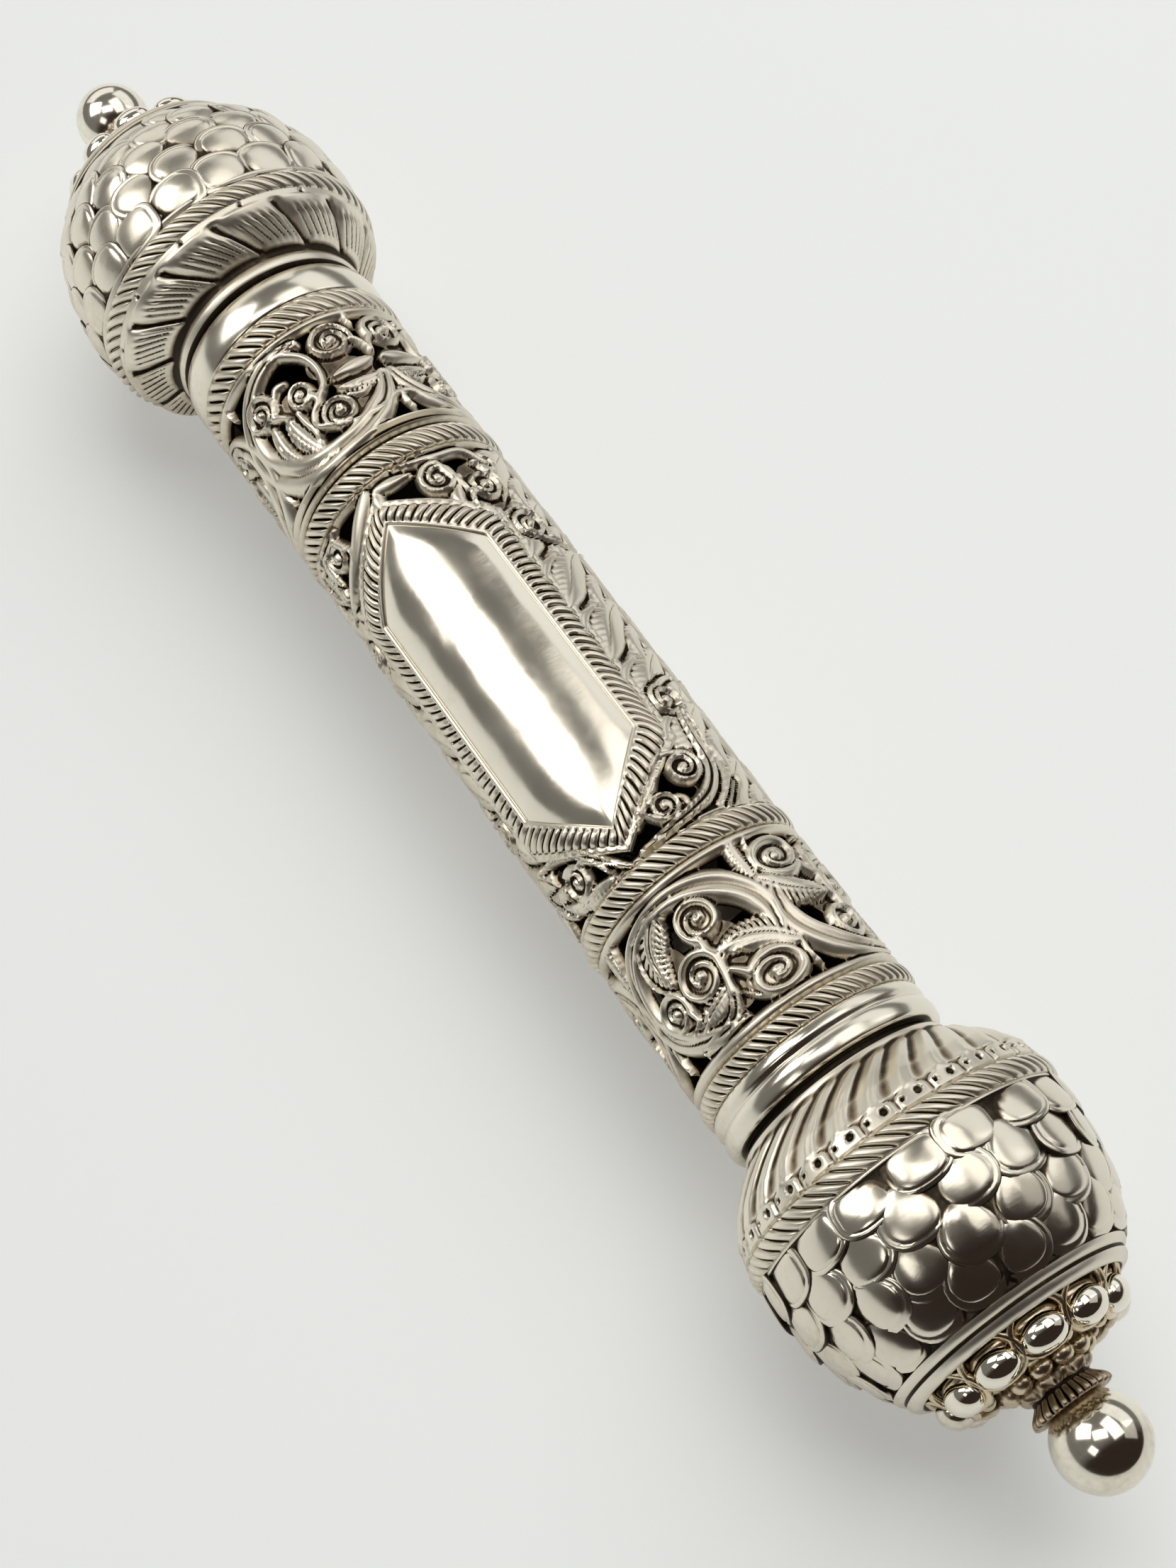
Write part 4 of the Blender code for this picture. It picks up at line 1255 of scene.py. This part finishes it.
class Nodes:
    """Short calls for building a material."""

    def __init__(self, name):
        self.material = bpy.data.materials.new(name)
        self.material.use_nodes = True
        self.tree = self.material.node_tree
        self.shader = self.tree.nodes["Principled BSDF"]
        self.place = self.new("ShaderNodeTexCoord").outputs["Object"]

    def new(self, kind, **settings):
        node = self.tree.nodes.new(kind)
        for key, value in settings.items():
            setattr(node, key, value)
        return node

    def join(self, source, target):
        if isinstance(source, (int, float)):
            target.default_value = source
        else:
            self.tree.links.new(source, target)

    def attribute(self, name):
        return self.new("ShaderNodeAttribute", attribute_name=name).outputs["Fac"]

    def height(self):
        """How high a place lies, in metres."""
        parts = self.new("ShaderNodeSeparateXYZ")
        self.join(self.place, parts.inputs[0])
        return parts.outputs["Z"]

    def noise(self, scale, detail=3.0, rough=0.55, stretch=None):
        vector = self.place
        if stretch:
            mapping = self.new("ShaderNodeMapping")
            mapping.inputs["Scale"].default_value = stretch
            self.join(vector, mapping.inputs["Vector"])
            vector = mapping.outputs["Vector"]
        node = self.new("ShaderNodeTexNoise")
        self.join(vector, node.inputs["Vector"])
        node.inputs["Scale"].default_value = scale
        node.inputs["Detail"].default_value = detail
        node.inputs["Roughness"].default_value = rough
        return node.outputs["Fac"]

    def math(self, operation, a, b):
        node = self.new("ShaderNodeMath", operation=operation)
        self.join(a, node.inputs[0])
        self.join(b, node.inputs[1])
        return node.outputs[0]

    def span(self, value, low, high, out_low=0.0, out_high=1.0):
        node = self.new("ShaderNodeMapRange", interpolation_type="SMOOTHSTEP")
        self.join(value, node.inputs["Value"])
        settings = (("From Min", low), ("From Max", high), ("To Min", out_low), ("To Max", out_high))
        for title, number in settings:
            node.inputs[title].default_value = number
        return node.outputs["Result"]

    def blend(self, share, a, b):
        node = self.new("ShaderNodeMix", data_type="RGBA")
        self.join(share, node.inputs[0])
        for value, socket in ((a, node.inputs[6]), (b, node.inputs[7])):
            if isinstance(value, tuple):
                socket.default_value = (*value, 1.0)
            else:
                self.join(value, socket)
        return node.outputs[2]

    def bumps(self, height, distance, strength, normal=None):
        node = self.new("ShaderNodeBump")
        node.inputs["Strength"].default_value = strength
        node.inputs["Distance"].default_value = distance
        self.join(height, node.inputs["Height"])
        if normal is not None:
            self.join(normal, node.inputs["Normal"])
        return node.outputs["Normal"]


def old_silver(name, bright, toned, dark, depth, polish, dull, grain, base, deep):
    """Silver that is bright where hands rub it, darkened on its lower side as painted shade, and near black
    in hollows from tarnish and painted shade.
    """
    n = Nodes(name)
    cloud = n.noise(CLOUDS, 4.0)
    speck = n.noise(SPECKS)
    fine = n.span(n.attribute("hollow_fine"), *FINE_HOLLOW)
    # The broad attribute holds tarnish in hollows and, on some pieces, painted shade.
    broad = n.span(n.attribute("hollow_broad"), BROAD_START, deep)
    tarnish_and_shade = n.math("MAXIMUM", fine, broad)
    for pattern, strength in ((cloud, CLOUD_STRENGTH), (speck, SPECK_STRENGTH)):
        tarnish_and_shade = n.math("ADD", tarnish_and_shade, n.math("MULTIPLY", n.math("SUBTRACT", pattern, 0.5), strength))
    # Painted shade: places low over the table are darkened.
    tarnish_and_shade = n.math("ADD", tarnish_and_shade, n.span(n.height(), *LOW_SIDE_SHADE, LOW_SIDE_DEPTH, 0.0))
    tone = n.span(tarnish_and_shade, *TONED_HOLLOW, base, 1.0)
    black = n.span(tarnish_and_shade, *BLACK_HOLLOW, 0.0, depth)
    colour = n.blend(tone, bright, toned)
    colour = n.blend(black, colour, dark)
    n.join(colour, n.shader.inputs["Base Color"])
    n.shader.inputs["Metallic"].default_value = 1.0
    smudge = n.span(n.noise(SMUDGES, 5.0, 0.65), 0.35, 0.7, 0.0, SMUDGE_ROUGHNESS)
    rough = n.math("ADD", n.span(tarnish_and_shade, *DULL_HOLLOW, polish, dull), smudge)
    n.join(rough, n.shader.inputs["Roughness"])
    dents = n.bumps(n.noise(HAMMERING, 2.0), HAMMER_DEPTH * grain, 0.5)
    scratches = n.noise(SCRATCHES, 5.0, 0.7, (1.0, 0.35, 0.35))
    scratches = n.bumps(scratches, SCRATCH_DEPTH * grain, 0.5, dents)
    n.join(scratches, n.shader.inputs["Normal"])
    return n.material


SILVER = (0.915, 0.87, 0.75)
TONED = (0.44, 0.36, 0.255)
BLACK = (0.022, 0.016, 0.011)
GILT = (0.84, 0.71, 0.50)
FLOOR = (0.80, 0.815, 0.80)

# Each metal's bright colour, how black its hollows go, how rough it is where polished and where
# dull, how dented it is, how toned it is all over, and how deep a broad hollow has to be.
METALS = {
    "chased_silver_looks": ("silver", 1.0, 0.3, 0.5, 1.0, 0.26, 0.26),
    "knob_silver_looks": ("silver", 0.95, 0.34, 0.5, 1.0, 0.16, 0.13),
    "scale_silver_looks": ("silver", 0.95, 0.15, 0.45, 0.6, 0.26, 0.26),
    "far_scale_silver_looks": ("silver", 0.95, 0.24, 0.45, 0.6, 0.24, 0.26),
    "plate_silver_looks": ("silver", 0.9, 0.15, 0.4, 0.5, 0.14, 0.26),
    "gilt_silver_looks": ("gilt", 1.0, 0.22, 0.45, 1.0, 0.3, 0.16),
    "wire_silver_looks": ("toned", 1.0, 0.26, 0.45, 1.0, 0.6, 0.08),
    "ball_silver_looks": ("silver", 0.8, 0.06, 0.3, 0.25, 0.0, 0.26),
}

# The room's walls, and where along X, as a share of the view round it, grey gives way to brown.
ROOM_GREY = (0.17, 0.165, 0.156)
ROOM_BROWN = (0.03, 0.021, 0.018)
ROOM_TURN = (0.08, 0.38)

# Each light's name, direction, distance, size, glow and colour. Metres.
LIGHTS = (
    ("window", (-0.50, -0.52, 0.69), 1.1, (0.6, 0.64), 2.9, (1.0, 0.98, 0.94)),
    ("high_window", (-0.04, 0.36, 0.93), 1.2, (1.0, 0.6), 1.35, (1.0, 0.98, 0.95)),
    ("near_window", (-0.07, -0.17, 0.98), 1.2, (0.4, 0.66), 1.9, (1.0, 0.98, 0.95)),
    ("side_wall", (-0.30, 0.75, 0.55), 1.1, (1.2, 0.6), 0.8, (0.97, 0.98, 1.0)),
    ("end_wall", (0.30, 0.77, 0.57), 1.1, (0.6, 0.6), 0.45, (1.0, 0.98, 0.95)),
    ("low_window", (0.24, -0.66, 0.71), 1.1, (0.34, 0.3), 1.5, (1.0, 0.98, 0.95)),
    ("far_wall", (-0.92, 0.05, 0.40), 1.1, (1.0, 0.5), 0.8, (1.0, 0.99, 0.97)),
)
CEILING = ("ceiling", (-0.34, 0.34, 0.88), 1.4, (1.6, 1.6), 1.68, (1.0, 1.0, 0.99))

# The table, in metres, and the camera: its lens and sensor in millimetres, the rest in metres.
TABLE_HALF = 3.0
TABLE_SHADE = 0.97
TABLE_ROUGHNESS = 0.45
TABLE_GLOW = 0.4
SENSOR_WIDTH = 36.0
CAMERA_LENS = 56.96
CAMERA_PLACE = (0.1172, -0.0701, 0.2479)
CAMERA_TARGET = (0.0129, -0.0019, 0.0176)
CAMERA_NEAREST = 0.005


# --- Settings, operators and panel --------------------------------------------------------------


class CaseSettings(bpy.types.PropertyGroup):
    """Sizes and colours that a user may change."""

    cell: bpy.props.FloatProperty(
        name="Relief cell",
        description="Size of the grid that carries the chased relief of the tube",
        default=0.0002,
        min=0.00015,
        max=0.001,
        unit="LENGTH",
        precision=5,
    )
    silver: bpy.props.FloatVectorProperty(
        name="Bright silver", description="Colour of the high places", default=SILVER, subtype="COLOR"
    )
    toned: bpy.props.FloatVectorProperty(
        name="Toned silver", description="Colour where polish wears thin", default=TONED, subtype="COLOR"
    )
    black: bpy.props.FloatVectorProperty(
        name="Tarnish", description="Colour in the deepest hollows", default=BLACK, subtype="COLOR"
    )
    gilt: bpy.props.FloatVectorProperty(
        name="Gilt", description="Colour of the crowns' old gilding", default=GILT, subtype="COLOR"
    )
    floor: bpy.props.FloatVectorProperty(
        name="Floor", description="Colour of the table", default=FLOOR, subtype="COLOR"
    )


def metal(name):
    """One of the case's metals, made when it is first asked for."""
    if name in bpy.data.materials:
        return bpy.data.materials[name]
    chosen = bpy.context.scene.megillah_case
    bright, *finish = METALS[name]
    colours = [tuple(getattr(chosen, title)) for title in (bright, "toned", "black")]
    return old_silver(name, *colours, *finish)


def belong(made, slot, *nodes):
    """Ties a piece to the frame's root body and hides the CAD nodes that it stands for. slot is not used."""
    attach(made, "root")
    if nodes:
        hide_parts(*nodes)
    return made


def add_piece(name, skins, looks, slot, node, crisp=CRISP):
    """Builds a piece from its closed skins and ties it to the frame."""
    return belong(woven_object(name, skins, metal(looks), crisp), slot, node)


class MEGILLAH_OT_openwork(bpy.types.Operator):
    """Build the three bands of chased and pierced silver"""

    bl_idname = "megillah.openwork"
    bl_label = "Openwork Bands"

    def execute(self, context):
        cell = context.scene.megillah_case.cell / MM
        silver = metal("chased_silver_looks")
        near = openwork("near_openwork", NEAR_BAND, cell, near_ornament, silver)
        wide, wider = cell * FAR_CELLS, cell * MIDDLE_CELLS
        far = openwork("far_openwork", FAR_BAND, wide, far_ornament, silver)
        middle = openwork("middle_openwork", MIDDLE_BAND, wider, middle_ornament, silver, cartouche_gap)
        for made in (near, middle, far):
            belong(made, "chased_silver", "case_tube")
        return {"FINISHED"}


class MEGILLAH_OT_rings(bpy.types.Operator):
    """Build the rope rings and the plain collars at the tube's ends"""

    bl_idname = "megillah.rings"
    bl_label = "Rope Rings and Collars"

    def execute(self, context):
        skins = []
        for start, end, strands in ROPE_RINGS:
            shape = (strands, ROPE_LEAN, ROPE_HEIGHT, ROPE_FINE, BORE_RADIUS, ROPE_PLAIN)
            grid = rope_grid(start, end, TUBE_WALL, *shape)
            skins.append((grid, "loop"))
        add_piece("rope_rings", skins, "chased_silver_looks", "chased_silver", "case_tube")
        for name, section in (("near_end_collar", NEAR_COLLAR), ("far_end_collar", FAR_COLLAR)):
            section = smooth_path(section, 5)
            inside = [(section[-1][0], BORE_RADIUS), (section[0][0], BORE_RADIUS)]
            grid = turned_grid(np.vstack((section, inside)), COLLAR_COLUMNS)
            add_piece(name, [(grid, "loop")], "plate_silver_looks", "chased_silver", "case_tube", 45.0)
        return {"FINISHED"}


class MEGILLAH_OT_cartouches(bpy.types.Operator):
    """Build the two long plates and their roped borders"""

    bl_idname = "megillah.cartouches"
    bl_label = "Cartouches"

    def execute(self, context):
        skins = [(frame_grid(angle), "loop") for angle in CARTOUCHE_ANGLES]
        add_piece("cartouche_borders", skins, "chased_silver_looks", "chased_silver", "case_tube")
        skins = [(plate_grid(angle), "poles") for angle in CARTOUCHE_ANGLES]
        add_piece("cartouche_plates", skins, "plate_silver_looks", "chased_silver", "case_tube", 70.0)
        return {"FINISHED"}


class MEGILLAH_OT_knobs(bpy.types.Operator):
    """Build the near knob with its flutes and the far knob with its leaves, and all their scales"""

    bl_idname = "megillah.knobs"
    bl_label = "Knobs and Scales"

    def execute(self, context):
        for name, side, profile, relief, rows, carved, rope, strands, lean, polished in KNOBS:
            node = name + "_knob"
            body = [(knob_grid(profile, relief, side, carved), "poles")]
            made = add_piece(name + "_knob_body", body, "knob_silver_looks", "knob_silver", node)
            shade_bed(made, carved)
            shape = (strands, lean, KNOB_ROPE_HEIGHT, KNOB_ROPE_FINE, KNOB_ROPE_BORE, KNOB_ROPE_PLAIN)
            ring = rope_grid(*rope, profile, *shape)
            ring = [(on_side(ring, side), "loop")]
            add_piece(name + "_knob_rope", ring, "knob_silver_looks", "knob_silver", node)
            scales = scale_skins(rows, profile, side)
            made = add_piece(name + "_knob_scales", scales, polished, "knob_silver", node, 50.0)
            shade_under_scales(made, profile)
        return {"FINISHED"}


class MEGILLAH_OT_finials(bpy.types.Operator):
    """Build the crowns, the ruffled collars and the balls"""

    bl_idname = "megillah.finials"
    bl_label = "Crowns and Balls"

    def execute(self, context):
        for name, side in (("near", 1), ("far", -1)):
            crown = name + "_crown"
            add_piece(crown + "_petals", crown_skins(side), "gilt_silver_looks", "gilt_silver", crown)
            add_piece(crown + "_granules", granule_skins(side), "ball_silver_looks", "gilt_silver", crown)
            ruffle = [(collar_grid(side), "loop")]
            add_piece(name + "_ruffle", ruffle, "wire_silver_looks", "wire_silver", name + "_collar")
            radius = (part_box(name + "_ball")[1].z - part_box(name + "_ball")[0].z) / 2.0 / MM
            ball = [(ball_grid(side, radius), "poles")]
            add_piece(name + "_ball_finial", ball, "ball_silver_looks", "polished_silver", name + "_ball")
        return {"FINISHED"}


def aim(made, target):
    """Turns a light or a camera to look at a point."""
    away = Vector(target) - made.location
    made.rotation_euler = away.to_track_quat("-Z", "Y").to_euler()


def area_light(name, direction, away, size, glow, colour):
    """A soft rectangular light some way off in a direction, facing the case.

    size is (width, height) in metres and glow is how bright its face looks.
    """
    light = bpy.data.lights.new(name, "AREA")
    light.shape = "RECTANGLE"
    light.size, light.size_y = size
    light.energy = glow * math.pi * size[0] * size[1]
    light.color = colour
    made = bpy.data.objects.new(name, light)
    bpy.context.scene.collection.objects.link(made)
    made.location = Vector(direction).normalized() * away
    aim(made, (0.0, 0.0, AXIS_HEIGHT * MM))
    return made


def room(scene):
    """A dim room: grey walls, darker and browner behind the near end."""
    world = bpy.data.worlds.new("room")
    world.use_nodes = True
    tree = world.node_tree
    back = tree.nodes["Background"]
    place = tree.nodes.new("ShaderNodeTexCoord")
    parts = tree.nodes.new("ShaderNodeSeparateXYZ")
    tree.links.new(place.outputs["Generated"], parts.inputs[0])
    ramp = tree.nodes.new("ShaderNodeValToRGB")
    tree.links.new(parts.outputs["X"], ramp.inputs["Fac"])
    for element, position, colour in zip(ramp.color_ramp.elements, ROOM_TURN, (ROOM_GREY, ROOM_BROWN)):
        element.position = position
        element.color = (*colour, 1.0)
    tree.links.new(ramp.outputs["Color"], back.inputs["Color"])
    scene.world = world


class MEGILLAH_OT_stage(bpy.types.Operator):
    """Build the pale table, the soft window light and the camera"""

    bl_idname = "megillah.stage"
    bl_label = "Stage"

    def execute(self, context):
        scene = context.scene
        shape = bmesh.new()
        bmesh.ops.create_grid(shape, x_segments=1, y_segments=1, size=TABLE_HALF)
        mesh = bpy.data.meshes.new("table")
        shape.to_mesh(mesh)
        shape.free()
        table = bpy.data.objects.new("table", mesh)
        scene.collection.objects.link(table)
        n = Nodes("table_looks")
        colour = tuple(scene.megillah_case.floor)
        shade = tuple(channel * TABLE_SHADE for channel in colour)
        n.join(n.blend(n.noise(6.0, 3.0), colour, shade), n.shader.inputs["Base Color"])
        n.shader.inputs["Roughness"].default_value = TABLE_ROUGHNESS
        n.shader.inputs["Emission Color"].default_value = (*colour, 1.0)
        n.shader.inputs["Emission Strength"].default_value = TABLE_GLOW
        mesh.materials.append(n.material)

        room(scene)
        for light in LIGHTS:
            area_light(*light).visible_diffuse = False
        area_light(*CEILING).visible_glossy = False

        camera = bpy.data.objects.new("camera", bpy.data.cameras.new("camera"))
        scene.collection.objects.link(camera)
        camera.data.sensor_fit = "AUTO"
        camera.data.sensor_width = SENSOR_WIDTH
        camera.data.lens = CAMERA_LENS
        camera.location = CAMERA_PLACE
        aim(camera, CAMERA_TARGET)
        camera.data.clip_start = CAMERA_NEAREST
        scene.camera = camera
        scene.view_settings.view_transform = "Standard"
        scene.view_settings.look = "None"
        return {"FINISHED"}


class MEGILLAH_PT_panel(bpy.types.Panel):
    """Lists the steps that build the case"""

    bl_label = "Megillah Case"
    bl_idname = "MEGILLAH_PT_panel"
    bl_space_type = "VIEW_3D"
    bl_region_type = "UI"
    bl_category = "Megillah Case"

    def draw(self, context):
        settings = context.scene.megillah_case
        for title in ("cell", "silver", "toned", "black", "gilt", "floor"):
            self.layout.prop(settings, title)
        for step in STEPS:
            self.layout.operator(step.bl_idname)


STEPS = (
    MEGILLAH_OT_openwork,
    MEGILLAH_OT_rings,
    MEGILLAH_OT_cartouches,
    MEGILLAH_OT_knobs,
    MEGILLAH_OT_finials,
    MEGILLAH_OT_stage,
)
CLASSES = (CaseSettings,) + STEPS + (MEGILLAH_PT_panel,)


def register():
    for item in CLASSES:
        bpy.utils.register_class(item)
    bpy.types.Scene.megillah_case = bpy.props.PointerProperty(type=CaseSettings)


def unregister():
    del bpy.types.Scene.megillah_case
    for item in reversed(CLASSES):
        bpy.utils.unregister_class(item)


def main():
    """Builds every piece."""
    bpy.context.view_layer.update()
    register()
    bpy.ops.megillah.openwork()
    bpy.ops.megillah.rings()
    bpy.ops.megillah.cartouches()
    bpy.ops.megillah.knobs()
    bpy.ops.megillah.finials()
    bpy.ops.megillah.stage()


if __name__ == "__main__":
    main()
